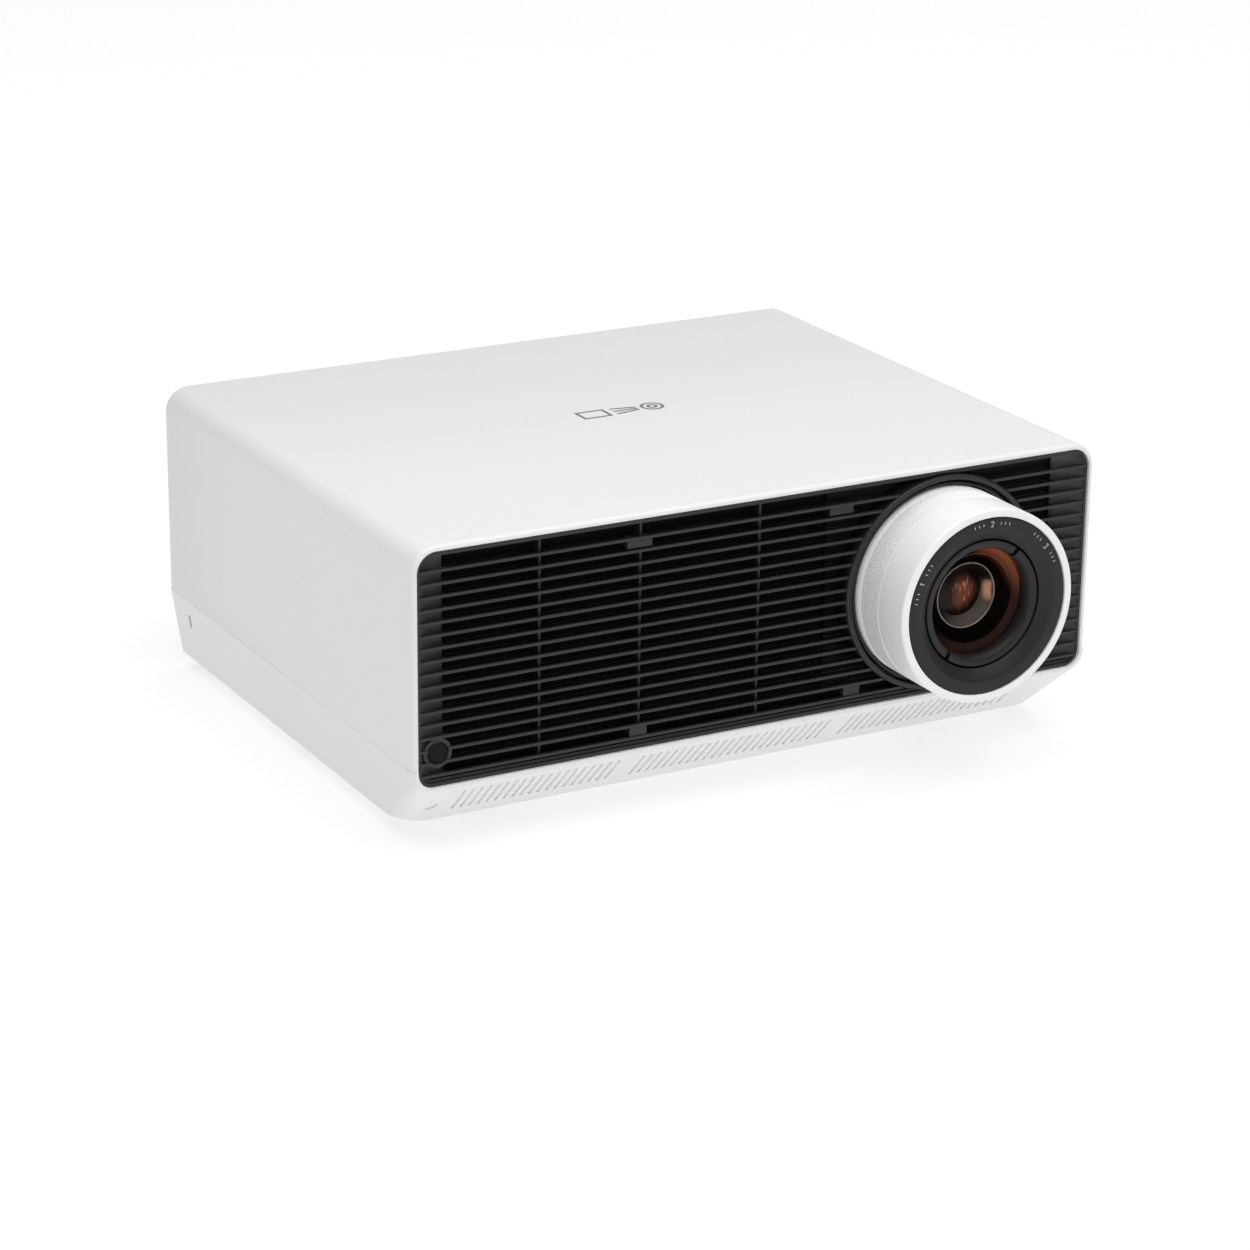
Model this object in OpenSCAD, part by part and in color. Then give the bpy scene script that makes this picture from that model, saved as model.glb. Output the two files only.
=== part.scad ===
// Home projector: a white two-part case with a full-width louvre grille, a lens with two turning
// rings, screw feet, a rear socket panel and the optics, cooling and electronics inside.
// Frame: X across (right as seen from the front), Y towards the back, Z up, origin at the bottom
// centre of the whole object. Modules inside case_frame() use case coordinates instead: Y from the
// front rim, Z from the case underside.

/* [Case] */
// Width of the case
body_w = 370; // [360:1:450]
// Depth of the case from front rim to back edge
body_d = 290; // [285:1:350]
// Height of the case without its feet
body_h = 143; // [142:1:175]
// Thickness of the moulded walls
wall = 2.6; // [2.2:0.1:3.2]
// Radius of the two long top edges
top_r = 12.5; // [8:0.5:16]
// Rounding of the front edges
front_round = 3; // [1:0.5:4]
// Height of the parting line above the underside
split_h = 35.7; // [34:0.1:40]
// How far each base side leans in at the underside
side_lean = 5.7; // [2:0.1:7]
// Height at which the sloped front of the base starts
slope_h = 25.4; // [20:0.1:26]
// Depth of the sloped front at the underside
slope_run = 26; // [20:1:30]
// Corner radius of the base's underside at the front
base_corner_r = 17; // [8:1:20]
// Corner radius of the grille mouth at the bottom
mouth_r = 8; // [4:1:8]

/* [Grille] */
// Setback of the grille behind the rim
grille_set = 1.5; // [0.5:0.1:3]
// Depth of the grille
grille_t = 9; // [7:0.5:10]
// Vertical pitch of the louvres
louvre_pitch = 6.14; // [5:0.01:8]
// Height of a louvre's front edge
louvre_t = 1.3; // [1:0.1:2.5]
// Downward slope of the louvres towards the back
louvre_tilt = 12; // [10:1:30]
// Width of the upright ribs
rib_w = 1.2; // [1:0.1:4]
// Reach of the slanting end webs
web_w = 16.5; // [8:0.1:18]

/* [Vent grooves] */
// Pitch of the grooves on the sloped front
groove_pitch = 4.47; // [4:0.01:6]
// Width of a groove
groove_w = 1.7; // [1:0.1:2.5]
// Depth of a groove
groove_deep = 0.9; // [0.5:0.1:1.6]

/* [Lens] */
// Distance from the lens axis to the right side of the case
lens_from_side = 85.4; // [80:0.1:100]
// Distance from the lens axis to the top of the case
lens_from_top = 60.2; // [59:0.1:62]
// How far the lens stands out of the front rim
lens_out = 38; // [34:1:50]
// Outer radius of the turning rings
ring_r = 48.4; // [40:0.1:49]
// Wall of the turning rings
ring_wall = 4; // [2:0.1:4.5]
// Length of the visible part of the zoom ring
zoom_len = 16; // [12:1:18]
// Radius of the gap between front ring and focus cell
cell_r = 32; // [26:0.5:33]
// Free radius of the front lens
glass_r = 26.5; // [20:0.5:26.5]
// Travel of the focus cell to each side of rest
focus_travel = 1.5; // [0.5:0.1:2]
// Travel of the zoom cell to each side of rest
zoom_travel = 4; // [2:0.5:5]

/* [Feet] */
// Height of the feet under the case
foot_h = 8; // [7:0.5:12]
// Radius of the foot pads
foot_r = 13; // [10:0.5:15]
// Distance of the feet from the case's sides
foot_side = 60; // [50:1:70]
// Distance of the front feet from the front rim
foot_front = 66; // [60:1:75]
// Distance of the rear feet from the back edge
foot_back = 40; // [30:1:50]
// Radius of the foot screws
foot_screw_r = 4; // [3:0.5:5]

/* [Ceiling mount] */
// Spacing of the threaded inserts across
mount_w = 180; // [120:10:200]
// Spacing of the threaded inserts front to back
mount_d = 130; // [100:10:140]
// Radius of the insert thread
insert_r = 2; // [1.5:0.5:3]

/* [Cooling] */
// Side of the square fan frames
fan_s = 80; // [70:5:85]
// Thickness of the fan frames
fan_t = 20; // [15:1:25]
// Number of blades on a fan rotor
fan_blades = 9; // [5:1:11]

/* [Clearances] */
// Gap between pieces that move past each other
run_gap = 0.3; // [0.2:0.05:0.5]
// Gap between fixed pieces that are set into each other
set_gap = 0.4; // [0.2:0.05:0.5]

/* [Hidden] */
$fn = 64;
eps = 0.01;

// Places of the case in the object's frame
front_y = (lens_out - body_d) / 2;
half_w = body_w / 2;
floor_hw = half_w - side_lean;
lens_x = half_w - lens_from_side;
lens_z = body_h - lens_from_top;
lean_angle = atan(side_lean / split_h);
slope_angle = atan(slope_h / slope_run);
slope_len = norm([slope_run, slope_h]);

// Grille
mouth_z = slope_h + 1.6;
grille_y = grille_set + grille_t;
collar_r = ring_r + 6.2;
louvre_top = body_h - 12.5;
louvre_n = floor((louvre_top - mouth_z - 4) / louvre_pitch) + 1;
rib_x = [65.8 - half_w, 118.2 - half_w, 182 - half_w];
clip_w = 13;
ir_x = 13.3 - half_w;
ir_z = 43;
ir_r = 5.2;

// Vent grooves: three groups, each given as [first groove from the left side, number]
groove_groups = [[28.5, 19], [122.4, 24], [238.6, 22]];
groove_low = 9.5;
groove_len = 21;

// Lens, lengths along the axis counted from the front rim, negative towards the front
ring_in_r = ring_r - ring_wall;
barrel_r = ring_in_r - run_gap;
bore_r = cell_r + 1;
zoom_bore_r = bore_r - 3;
ring_split = -1 - zoom_len;
ring_end = 8;
barrel_front = 8 - lens_out;
barrel_end = 60;
flange_t = 4;
flange_r = ring_r + 4;
cell_front = 4.8 - lens_out;
cell_end = cell_front + 26;
zoom_cell_y = 14;
zoom_cell_len = 16;

// Optical engine
eng_hw = 52;
eng_low = lens_z - 42;
eng_high = lens_z + 38;
eng_y0 = barrel_end;
eng_y1 = eng_y0 + 90;
eng_wall = 3;
beam_y = eng_y0 + 40;
beam_x0 = lens_x - eng_hw;
tube_len = 38;
tube_r = 17;
wheel_x = beam_x0 - tube_len - 7;
wheel_z = lens_z - 20;
wheel_r = 24;
laser_x1 = wheel_x - 24;
laser_x0 = laser_x1 - 40;
sink_x0 = laser_x0 - 62;
sink_y0 = eng_y0 + 2;
sink_d = 76;

// Cooling
fan_y = grille_y + 9;
fan_z = mouth_z + (body_h - wall - mouth_z) / 2;
fan_x = [22 + fan_s / 2 - half_w, 26 + 1.5 * fan_s - half_w];
fan_bore_r = fan_s / 2 - 3;
hub_r = fan_s / 5;

// Feet and screws
feet_x = half_w - foot_side;
pad_t = 3.4;
wheel_t = 2.8;
post_x = half_w - 13;
post_y = [48, body_d / 2 + 5, body_d - 14];
boss_h = 8;
mount_y = body_d / 2;

// Rear panel
panel_t = 3;
panel_y = body_d - 1.5 - panel_t;
panel_out = panel_y + panel_t;
board_z = 9;
board_t = 1.6;
board_top = board_z + board_t;
socket_y = panel_out - 1;
inlet_x = 55 - half_w;
inlet_z = 31;
inlet_size = [28, 20];
hdmi_x = [-34, -10];
hdmi_size = [15, 6];
usb_x = [14, 34];
usb_size = [13.2, 6.4];
lan_x = 58;
lan_size = [16, 14];
audio_x = 82;
audio_r = 4.2;
stick_x = half_w - 60;
stick_z = 32;
stick_r = 13;
stick_pivot = panel_out - 16.5;
stick_pin_r = 0.8;
gimbal_r = 9;
speaker_x = half_w - 42;
speaker_z = body_h - 55;
speaker_r = 20;
lock_y = body_d - 20.4;
lock_z = 23.4;
lock_w = 3;
lock_h = 7;

// Boards
power_x = [19 - half_w, 95 - half_w];
power_y = [body_d - 128, body_d - 16];
main_x = [105 - half_w, half_w - 22];
main_y = [body_d - 96, panel_y - 1];
chip_z = board_top + 4;

module case_frame() { translate([0, front_y, foot_h]) children(); }

// Turns a profile of [radius, distance along the lens axis] about the lens axis
module lens_turn() {
    case_frame() translate([lens_x, 0, lens_z]) rotate([-90, 0, 0]) rotate_extrude($fn = 128) children();
}

// Box given by its low and high corners
module span(lo, hi) { translate(lo) cube(hi - lo); }

// Rod along Y
module rod_y(r, y0, y1, x, z) { translate([x, y0, z]) rotate([-90, 0, 0]) cylinder(r = r, h = y1 - y0); }

// Rod along X
module rod_x(r, x0, x1, y, z) { translate([x0, y, z]) rotate([0, 90, 0]) cylinder(r = r, h = x1 - x0); }

// Extrudes a profile drawn in X and Z from y0 to y1
module along_y(y0, y1) { translate([0, y1, 0]) rotate([90, 0, 0]) linear_extrude(y1 - y0) children(); }

// Cross-section of the case, moved inwards by inset
module section(inset) {
    r = max(top_r - inset, 1);
    top = body_h - inset;
    hw = half_w - inset;
    polygon([[inset - floor_hw, inset], [floor_hw - inset, inset], [hw, split_h], [hw, top - r],
        [hw - r, top - r], [hw - r, top], [r - hw, top], [r - hw, top - r], [-hw, top - r],
            [-hw, split_h]]);
    for (s = [-1, 1]) translate([s * (hw - r), top - r]) circle(r);
}

// Outline of the open front of the case, moved inwards by inset
module mouth(inset) {
    hw = half_w - wall - inset;
    low = mouth_z + inset;
    high = body_h - wall - inset;
    r0 = max(mouth_r - inset, 1);
    r1 = max(top_r - wall - inset, 1);
    polygon([[r0 - hw, low], [hw - r0, low], [hw - r0, low + r0], [hw, low + r0], [hw, high - r1],
        [hw - r1, high - r1], [hw - r1, high], [r1 - hw, high], [r1 - hw, high - r1], [-hw, high - r1],
        [-hw, low + r0], [r0 - hw, low + r0]]);
    for (s = [-1, 1]) {
        translate([s * (hw - r0), low + r0]) circle(r0);
        translate([s * (hw - r1), high - r1]) circle(r1);
    }
}

// Flat plate with rounded front corners, from y0 to y1
module plan_plate(hw, y0, y1, r, z) {
    translate([0, 0, z]) linear_extrude(eps) union() {
        for (s = [-1, 1]) translate([s * (hw - r), y0 + r]) circle(r, $fn = 48);
        translate([-hw, y0 + r]) square([2 * hw, y1 - y0 - r]);
    }
}

// Outer form of the base: sloped front, leaning sides, front corners that grow towards the underside
module base_form(inset, top) {
    k = inset * tan(slope_angle / 2);
    front_r = max(9 - inset, 2);
    front_hw = half_w - 0.6 - inset;
    hull() {
        plan_plate(floor_hw - inset, slope_run + k, body_d, base_corner_r - inset, inset);
        plan_plate(half_w - inset, inset, body_d, front_round, top - eps);
        for (s = [-1, 1]) {
            rod_y(front_r, inset, inset + eps, s * (front_hw - front_r), slope_h + k + front_r, $fn = 48);
        }
    }
}

module post(x, y, z0, z1, r) { translate([x, y, z0]) cylinder(r = r, h = z1 - z0, $fn = 32); }

module top_cover() {
    color([0.94, 0.94, 0.95]) case_frame() difference() {
        union() {
            difference() {
                intersection() {
                    along_y(0, body_d) section(0);
                    span([-half_w, 0, split_h], [half_w, body_d, body_h]);
                    linear_extrude(body_h) union() {
                        for (s = [-1, 1]) translate([s * (half_w - front_round), front_round])
                            circle(front_round);
                        translate([front_round - half_w, 0]) square([body_w - 2 * front_round, body_d]);
                        translate([-half_w, front_round]) square([body_w, body_d - front_round]);
                    }
                    rotate([90, 0, 90]) translate([0, 0, -half_w]) linear_extrude(body_w) union() {
                        translate([front_round, body_h - front_round]) circle(front_round);
                        square([body_d, body_h - front_round]);
                        translate([front_round, 0]) square([body_d - front_round, body_h]);
                    }
                }
                along_y(-1, body_d + 1) section(wall);
            }
            for (s = [-1, 1], y = post_y) post(s * post_x, y, boss_h + 0.2, body_h - wall + 0.5, 4);
        }
        for (s = [-1, 1], y = post_y) post(s * post_x, y, 0, 22, 1.6);
    }
}

// Places of the board stand-offs and of the supports under the inner parts: [x, y, top]
supports = concat(
    [for (x = [power_x[0] + 5, power_x[1] - 5], y = [power_y[0] + 5, power_y[1] - 5]) [x, y, board_z]],
    [for (x = [main_x[0] + 5, main_x[1] - 5], y = [main_y[0] + 5, main_y[1] - 5]) [x, y, board_z]],
    [for (x = fan_x, s = [-1, 1]) [x + s * (fan_s / 2 - 6), fan_y + fan_t / 2 + 2, fan_z - fan_s / 2]],
    [for (x = [lens_x - eng_hw + 8, lens_x + eng_hw - 8], y = [eng_y0 + 8, eng_y1 - 8]) [x, y, eng_low]],
    [for (x = [sink_x0 + 8, laser_x0 - 8], y = [sink_y0 + 8, sink_y0 + sink_d - 8]) [x, y, lens_z - 38]]);

module base_tray() {
    color([0.9, 0.9, 0.92]) case_frame() difference() {
        union() {
            difference() {
                intersection() {
                    base_form(0, split_h);
                    span([-half_w, 0, 0], [half_w, body_d, split_h]);
                }
                base_form(wall, split_h + 1);
                along_y(-1, wall + 8) mouth(0);
            }
            for (s = [-1, 1], y = post_y) post(s * post_x, y, 0, boss_h, 5.5);
            for (sx = [-1, 1], sy = [-1, 1]) {
                post(sx * mount_w / 2, mount_y + sy * mount_d / 2, 0, boss_h, insert_r + 4.5);
            }
            for (s = [-1, 1]) post(s * feet_x, foot_front, 0, 12, foot_screw_r + 6);
            for (p = supports) post(p[0], p[1], wall - 0.5, p[2], 3.5);
            span([-floor_hw + 8, body_d - wall, 0], [floor_hw - 8, body_d, boss_h]);
        }
        for (s = [-1, 1], y = post_y) {
            post(s * post_x, y, -1, boss_h + 1, 1.7);
            post(s * post_x, y, -1, 3, 3.4);
        }
        for (sx = [-1, 1], sy = [-1, 1]) {
            post(sx * mount_w / 2, mount_y + sy * mount_d / 2, -1, 7, insert_r + 2);
        }
        for (s = [-1, 1]) post(s * feet_x, foot_front, -1, 13, foot_screw_r + 3);
        for (g = groove_groups, i = [0 : g[1] - 1]) {
            translate([g[0] - half_w + i * groove_pitch, slope_run, 0]) rotate([-slope_angle, 0, 0])
                span([-groove_w / 2, -groove_low - groove_len, -1],
                    [groove_w / 2, -groove_low, groove_deep]);
        }
        translate([14 - half_w, slope_run, 0]) rotate([-slope_angle, 0, 0])
            translate([0, -slope_len / 2, -1]) cylinder(r = 4.5, h = 1.8);
        span([-half_w - 1, lock_y - lock_w / 2, lock_z - lock_h / 2],
            [-half_w + 12, lock_y + lock_w / 2, lock_z + lock_h / 2]);
    }
}

module louvre(z) {
    translate([0, grille_set, z]) {
        translate([-half_w, 0, -louvre_t / 2]) cube([body_w, 1.2, louvre_t]);
        translate([-half_w, 0.3, 0.2 - louvre_t / 2]) rotate([-louvre_tilt, 0, 0])
            cube([body_w, grille_t - 1.5, 1]);
    }
}

module front_grille() {
    color([0.16, 0.16, 0.17]) case_frame() difference() {
        intersection() {
            along_y(grille_set, grille_y) mouth(set_gap);
            union() {
                difference() {
                    span([-half_w, 0, 0], [half_w, grille_y, body_h]);
                    along_y(-1, grille_y + 1) mouth(set_gap + 1.3);
                }
                difference() {
                    span([-half_w, grille_set + 1.6, 0], [half_w, grille_y, body_h]);
                    along_y(-1, grille_y + 1) mouth(set_gap + 2.8);
                }
                for (i = [0 : louvre_n - 1]) louvre(louvre_top - i * louvre_pitch);
                for (x = rib_x) span([x, grille_set + 3, 0], [x + rib_w, grille_y, body_h]);
                for (s = [-1, 1]) scale([s, 1, 1]) end_web();
                for (x = [rib_x[1] - 7.5, rib_x[2] + 37.8]) {
                    span([x, grille_set + 0.8, louvre_top - 4.6], [x + clip_w, grille_y, louvre_top]);
                }
                for (x = [rib_x[1] - 5.2, rib_x[2] + 48.3]) {
                    span([x, grille_set + 0.8, mouth_z + 6], [x + 9, grille_y, mouth_z + 10.5]);
                }
                rod_y(ir_r + 2, grille_set + 0.6, grille_y, ir_x, ir_z);
            }
        }
        rod_y(collar_r + 0.2, -1, grille_y + 1, lens_x, lens_z);
        rod_y(ir_r + 0.2, -1, grille_y + 1, ir_x, ir_z);
    }
}

// Upright web that slants back from the end of the grille
module end_web() {
    linear_extrude(body_h) polygon([[wall - half_w, grille_set + 0.4],
        [wall + 1.2 - half_w, grille_set + 0.4],
        [wall + web_w - half_w, grille_y - 1.2], [wall + web_w - half_w, grille_y],
            [wall - half_w, grille_y]]);
}

module lens_collar() {
    color([0.13, 0.13, 0.14]) lens_turn() polygon([[collar_r - 2.6, grille_set - 1],
        [collar_r - 0.8, grille_set - 1],
        [collar_r, grille_set - 0.2], [collar_r, grille_y + 1], [ring_r + 0.7, grille_y + 1],
        [ring_r + 0.7, grille_set + 1], [ring_r + 2, grille_set + 1], [ring_r + 2.3, grille_set + 5],
        [collar_r - 3, grille_set + 5]]);
}

module dust_filter() {
    color([0.05, 0.05, 0.05]) case_frame() {
        span([20 - half_w, grille_y + 1.5, mouth_z + 3],
            [lens_x - collar_r - 8, grille_y + 4.5, body_h - wall - 4]);
    }
}

module lens_shroud() {
    color([0.06, 0.06, 0.06]) case_frame() difference() {
        span([lens_x - collar_r - 6, grille_y + 1.5, mouth_z + 3],
            [half_w - 7, grille_y + 3.5, body_h - wall - 4]);
        rod_y(barrel_r + 1.2, 0, grille_y + 9, lens_x, lens_z);
    }
}

module ir_window() {
    color([0.09, 0.07, 0.08]) case_frame() {
        rod_y(ir_r, grille_set + 1.4, grille_y - 3, ir_x, ir_z);
        difference() {
            rod_y(ir_r, grille_set + 0.2, grille_set + 1.4, ir_x, ir_z);
            rod_y(ir_r - 0.8, 0, grille_set + 2, ir_x, ir_z);
        }
    }
}

// Socket opening in the rear panel, centred across on x and standing on the board
module socket_hole(x, size, z0) {
    span([x - size[0] / 2 - set_gap, panel_y - 1, z0 - set_gap],
        [x + size[0] / 2 + set_gap, panel_out + 1, z0 + size[1] + set_gap]);
}

module rear_panel() {
    vent_rows = floor((body_h - 64) / 7);
    color([0.2, 0.2, 0.21]) case_frame() difference() {
        intersection() {
            along_y(panel_y, panel_out) section(wall + 0.2);
            span([-half_w, 0, wall + 0.3], [half_w, body_d, body_h]);
        }
        span([-floor_hw + 7, body_d - wall - 1, 0], [floor_hw - 7, body_d, boss_h + 0.3]);
        socket_hole(inlet_x, inlet_size, inlet_z - inlet_size[1] / 2);
        for (x = hdmi_x) socket_hole(x, hdmi_size, board_top);
        for (x = usb_x) socket_hole(x, usb_size, board_top);
        socket_hole(lan_x, lan_size, board_top);
        rod_y(audio_r + set_gap, panel_y - 1, panel_out + 1, audio_x, board_top + audio_r);
        rod_y(stick_r + 0.2, panel_y - 1, panel_out + 1, stick_x, stick_z);
        for (c = [-1, 0, 1], i = [0 : vent_rows - 1]) {
            span([c * 62 - 28, panel_y - 1, 50 + i * 7], [c * 62 + 28, panel_out + 1, 53.4 + i * 7]);
        }
        for (s = [-1, 1], i = [-3 : 3]) {
            hw = sqrt(pow(speaker_r, 2) - pow(i * 5, 2));
            span([s * speaker_x - hw, panel_y - 1, speaker_z + i * 5 - 1.2],
                [s * speaker_x + hw, panel_out + 1, speaker_z + i * 5 + 1.2]);
        }
    }
}

module power_inlet() {
    w = inlet_size[0];
    h = inlet_size[1];
    pin_y = panel_out - 15;
    color([0.08, 0.08, 0.08]) case_frame() translate([inlet_x, 0, inlet_z]) {
        difference() {
            union() {
                span([-w / 2, panel_out - 22, -h / 2], [w / 2, panel_out, h / 2]);
                span([-w / 2 - 2, panel_out, -h / 2 - 2], [w / 2 + 2, panel_out + 1.2, h / 2 + 2]);
            }
            span([-12.2, pin_y - 2, -7.8], [12.2, panel_out + 2, 7.8]);
        }
    }
    color([0.8, 0.78, 0.7]) case_frame() translate([inlet_x, 0, inlet_z]) {
        for (p = [[-7, -2], [7, -2], [0, 2]]) {
            span([p[0] - 1, panel_out - 26, p[1] - 2], [p[0] + 1, panel_out - 3, p[1] + 2]);
        }
    }
}

module hdmi_ports() {
    w = hdmi_size[0];
    h = hdmi_size[1];
    color([0.7, 0.7, 0.72]) case_frame() for (x = hdmi_x) translate([x, 0, board_top]) {
        difference() {
            span([-w / 2, socket_y - 12, 0], [w / 2, socket_y, h]);
            translate([0, socket_y + 1, h / 2]) rotate([90, 0, 0]) linear_extrude(11)
                polygon([[-7, 2.4], [7, 2.4], [7, -0.4], [5, -2.4], [-5, -2.4], [-7, -0.4]]);
        }
        span([-5.5, socket_y - 12, h / 2 - 0.3], [5.5, socket_y - 2, h / 2 + 1]);
    }
}

module usb_ports() {
    w = usb_size[0];
    h = usb_size[1];
    color([0.7, 0.7, 0.72]) case_frame() for (x = usb_x) translate([x, 0, board_top]) {
        difference() {
            span([-w / 2, socket_y - 14, 0], [w / 2, socket_y, h]);
            span([-w / 2 + 0.5, socket_y - 13, 0.5], [w / 2 - 0.5, socket_y + 1, h - 0.5]);
        }
        span([-5.6, socket_y - 14, h - 2.6], [5.6, socket_y - 1.5, h - 0.9]);
    }
}

module lan_port() {
    w = lan_size[0];
    h = lan_size[1];
    color([0.66, 0.66, 0.68]) case_frame() translate([lan_x, 0, board_top]) difference() {
        span([-w / 2, socket_y - 20, 0], [w / 2, socket_y, h]);
        span([-5.9, socket_y - 14, 3], [5.9, socket_y + 1, 11]);
        span([-3, socket_y - 14, 1.2], [3, socket_y + 1, 3.2]);
    }
}

module audio_jack() {
    color([0.1, 0.1, 0.1]) case_frame() difference() {
        union() {
            rod_y(audio_r, socket_y - 3, socket_y, audio_x, board_top + audio_r);
            span([audio_x - audio_r, socket_y - 14, board_top],
                [audio_x + audio_r, socket_y - 3, board_top + 2 * audio_r]);
        }
        rod_y(1.8, socket_y - 12, socket_y + 1, audio_x, board_top + audio_r);
    }
}

module joystick_bezel() {
    color([0.13, 0.13, 0.13]) case_frame() difference() {
        union() {
            rod_y(stick_r, stick_pivot - 8, panel_out, stick_x, stick_z);
            rod_y(stick_r + 1.5, panel_out, panel_out + 0.8, stick_x, stick_z);
        }
        rod_y(stick_r - 1.4, stick_pivot - 6.5, body_d, stick_x, stick_z);
        gimbal_pins(stick_pin_r + run_gap, stick_r + 1);
    }
}

// Upright pivot pins of the gimbal, which turn in the wall of the bezel
module gimbal_pins(r, reach) {
    translate([stick_x, stick_pivot, stick_z - reach]) cylinder(r = r, h = 2 * reach, $fn = 32);
}

// Cross pins of the stem, which turn in the gimbal
module stem_pins(r, reach) {
    translate([stick_x - reach, stick_pivot, stick_z]) rotate([0, 90, 0])
        cylinder(r = r, h = 2 * reach, $fn = 32);
}

module joystick_gimbal() {
    color([0.75, 0.75, 0.7]) case_frame() difference() {
        union() {
            rod_y(gimbal_r, stick_pivot - 1.5, stick_pivot + 1.5, stick_x, stick_z);
            gimbal_pins(stick_pin_r, stick_r - 0.6);
        }
        rod_y(gimbal_r - 2.4, stick_pivot - 2, stick_pivot + 2, stick_x, stick_z);
        stem_pins(stick_pin_r + run_gap, gimbal_r + 1);
    }
}

module joystick_stem() {
    color([0.3, 0.3, 0.32]) case_frame() {
        rod_y(gimbal_r - 3.4, stick_pivot - 1.2, stick_pivot + 1.2, stick_x, stick_z);
        rod_y(2, stick_pivot, stick_pivot + 9, stick_x, stick_z);
        stem_pins(stick_pin_r, gimbal_r - 0.4);
    }
}

module joystick_cap() {
    color([0.1, 0.1, 0.1]) case_frame() translate([stick_x, stick_pivot, stick_z]) rotate([-90, 0, 0])
        rotate_extrude() polygon([[2.3, 4], [4.2, 4], [4.2, 10.5], [7.2, 10.5], [8, 11.2], [8, 14.6],
            [7, 16],
            [5, 16.8], [3, 16.4], [0, 16.2], [0, 10.6], [2.3, 10.6]]);
}

module case_screws() {
    color([0.2, 0.2, 0.2]) case_frame() for (s = [-1, 1], y = post_y) translate([s * post_x, y, 0])
        difference() {
        union() {
            translate([0, 0, 0.8]) cylinder(r = 3, h = 2.2);
            translate([0, 0, 2.9]) cylinder(r = 1.5, h = 16);
        }
        for (a = [0, 90]) rotate(a) translate([-1.8, -0.35, 0]) cube([3.6, 0.7, 2]);
    }
}

module mount_inserts() {
    color([0.8, 0.65, 0.35]) case_frame() for (sx = [-1, 1], sy = [-1, 1]) {
        translate([sx * mount_w / 2, mount_y + sy * mount_d / 2, 0]) difference() {
            cylinder(r = insert_r + 2, h = 7);
            translate([0, 0, -1]) cylinder(r = insert_r, h = 7);
        }
    }
}

module lock_plate() {
    color([0.6, 0.6, 0.62]) case_frame() {
        translate([wall + 0.5 - floor_hw, lock_y, 0]) rotate([0, -lean_angle, 0]) difference() {
            span([0, -8, lock_z - 7], [1.5, 8, lock_z + 6]);
            span([-1, -lock_w / 2 - 0.1, lock_z - lock_h / 2 - 0.4],
                [2.5, lock_w / 2 + 0.1, lock_z + lock_h / 2]);
        }
    }
}

module rear_feet() {
    color([0.12, 0.12, 0.12]) case_frame() for (s = [-1, 1])
        translate([s * feet_x, body_d - foot_back, -foot_h]) {
        cylinder(r1 = foot_r - 1, r2 = foot_r, h = 1);
        translate([0, 0, 1]) cylinder(r = foot_r, h = foot_h - 1);
    }
}

module foot_nuts() {
    color([0.8, 0.65, 0.35]) case_frame() for (s = [-1, 1]) translate([s * feet_x, foot_front, 0])
        difference() {
        cylinder(r = foot_screw_r + 3, h = 10);
        translate([0, 0, -1]) cylinder(r = foot_screw_r + run_gap, h = 12);
    }
}

// Swivel pad with the pocket that holds the flange of the screw
module foot_pad(s) {
    color([0.12, 0.12, 0.12]) case_frame() translate([s * feet_x, foot_front, -foot_h]) difference() {
        union() {
            cylinder(r1 = foot_r - 1, r2 = foot_r, h = 1);
            translate([0, 0, 1]) cylinder(r = foot_r, h = pad_t - 1);
        }
        translate([0, 0, 1.4]) cylinder(r = 6.3, h = pad_t);
    }
}

module foot_screw(s) {
    color([0.25, 0.25, 0.26]) case_frame() translate([s * feet_x, foot_front, -foot_h]) difference() {
        union() {
            translate([0, 0, 1.7]) cylinder(r = 6, h = pad_t - 1.2);
            translate([0, 0, pad_t + run_gap]) cylinder(r = 11, h = wheel_t);
            translate([0, 0, pad_t + 1]) cylinder(r = foot_screw_r, h = foot_h + 12);
        }
        for (a = [0 : 15 : 345]) rotate(a) translate([11.3, 0, pad_t]) cylinder(r = 0.8, h = 4, $fn = 16);
    }
}

module left_foot_pad() { foot_pad(-1); }
module left_foot_screw() { foot_screw(-1); }
module right_foot_pad() { foot_pad(1); }
module right_foot_screw() { foot_screw(1); }

module lens_barrel() {
    color([0.1, 0.1, 0.1]) lens_turn() polygon([[bore_r, barrel_front], [barrel_r, barrel_front],
        [barrel_r, barrel_end - flange_t], [flange_r, barrel_end - flange_t], [flange_r, barrel_end],
        [zoom_bore_r, barrel_end], [zoom_bore_r, cell_end + 8], [bore_r, cell_end + 6]]);
}

module zoom_ring() {
    color([0.93, 0.93, 0.94]) lens_turn() polygon([[ring_in_r, ring_split + run_gap],
        [ring_r - 0.4, ring_split + run_gap],
        [ring_r, ring_split + run_gap + 0.4], [ring_r, ring_end], [ring_in_r, ring_end]]);
}

module focus_ring() {
    color([0.93, 0.93, 0.94]) lens_turn() polygon([[ring_in_r, ring_split], [ring_r - 0.4, ring_split],
        [ring_r, ring_split - 0.4], [ring_r, 1.2 - lens_out], [ring_r - 0.35, 0.35 - lens_out],
        [ring_r - 1.2, -lens_out], [ring_in_r + 0.4, -lens_out], [ring_in_r, 0.4 - lens_out]]);
}

module lens_front_ring() {
    color([0.14, 0.14, 0.15]) lens_turn() polygon([[cell_r + 0.4, barrel_front],
        [cell_r + 0.4, 4.8 - lens_out],
        [barrel_r - 6.1, 0.7 - lens_out], [barrel_r - 0.4, 0.6 - lens_out], [barrel_r, 1 - lens_out],
        [barrel_r, barrel_front]]);
}

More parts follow.
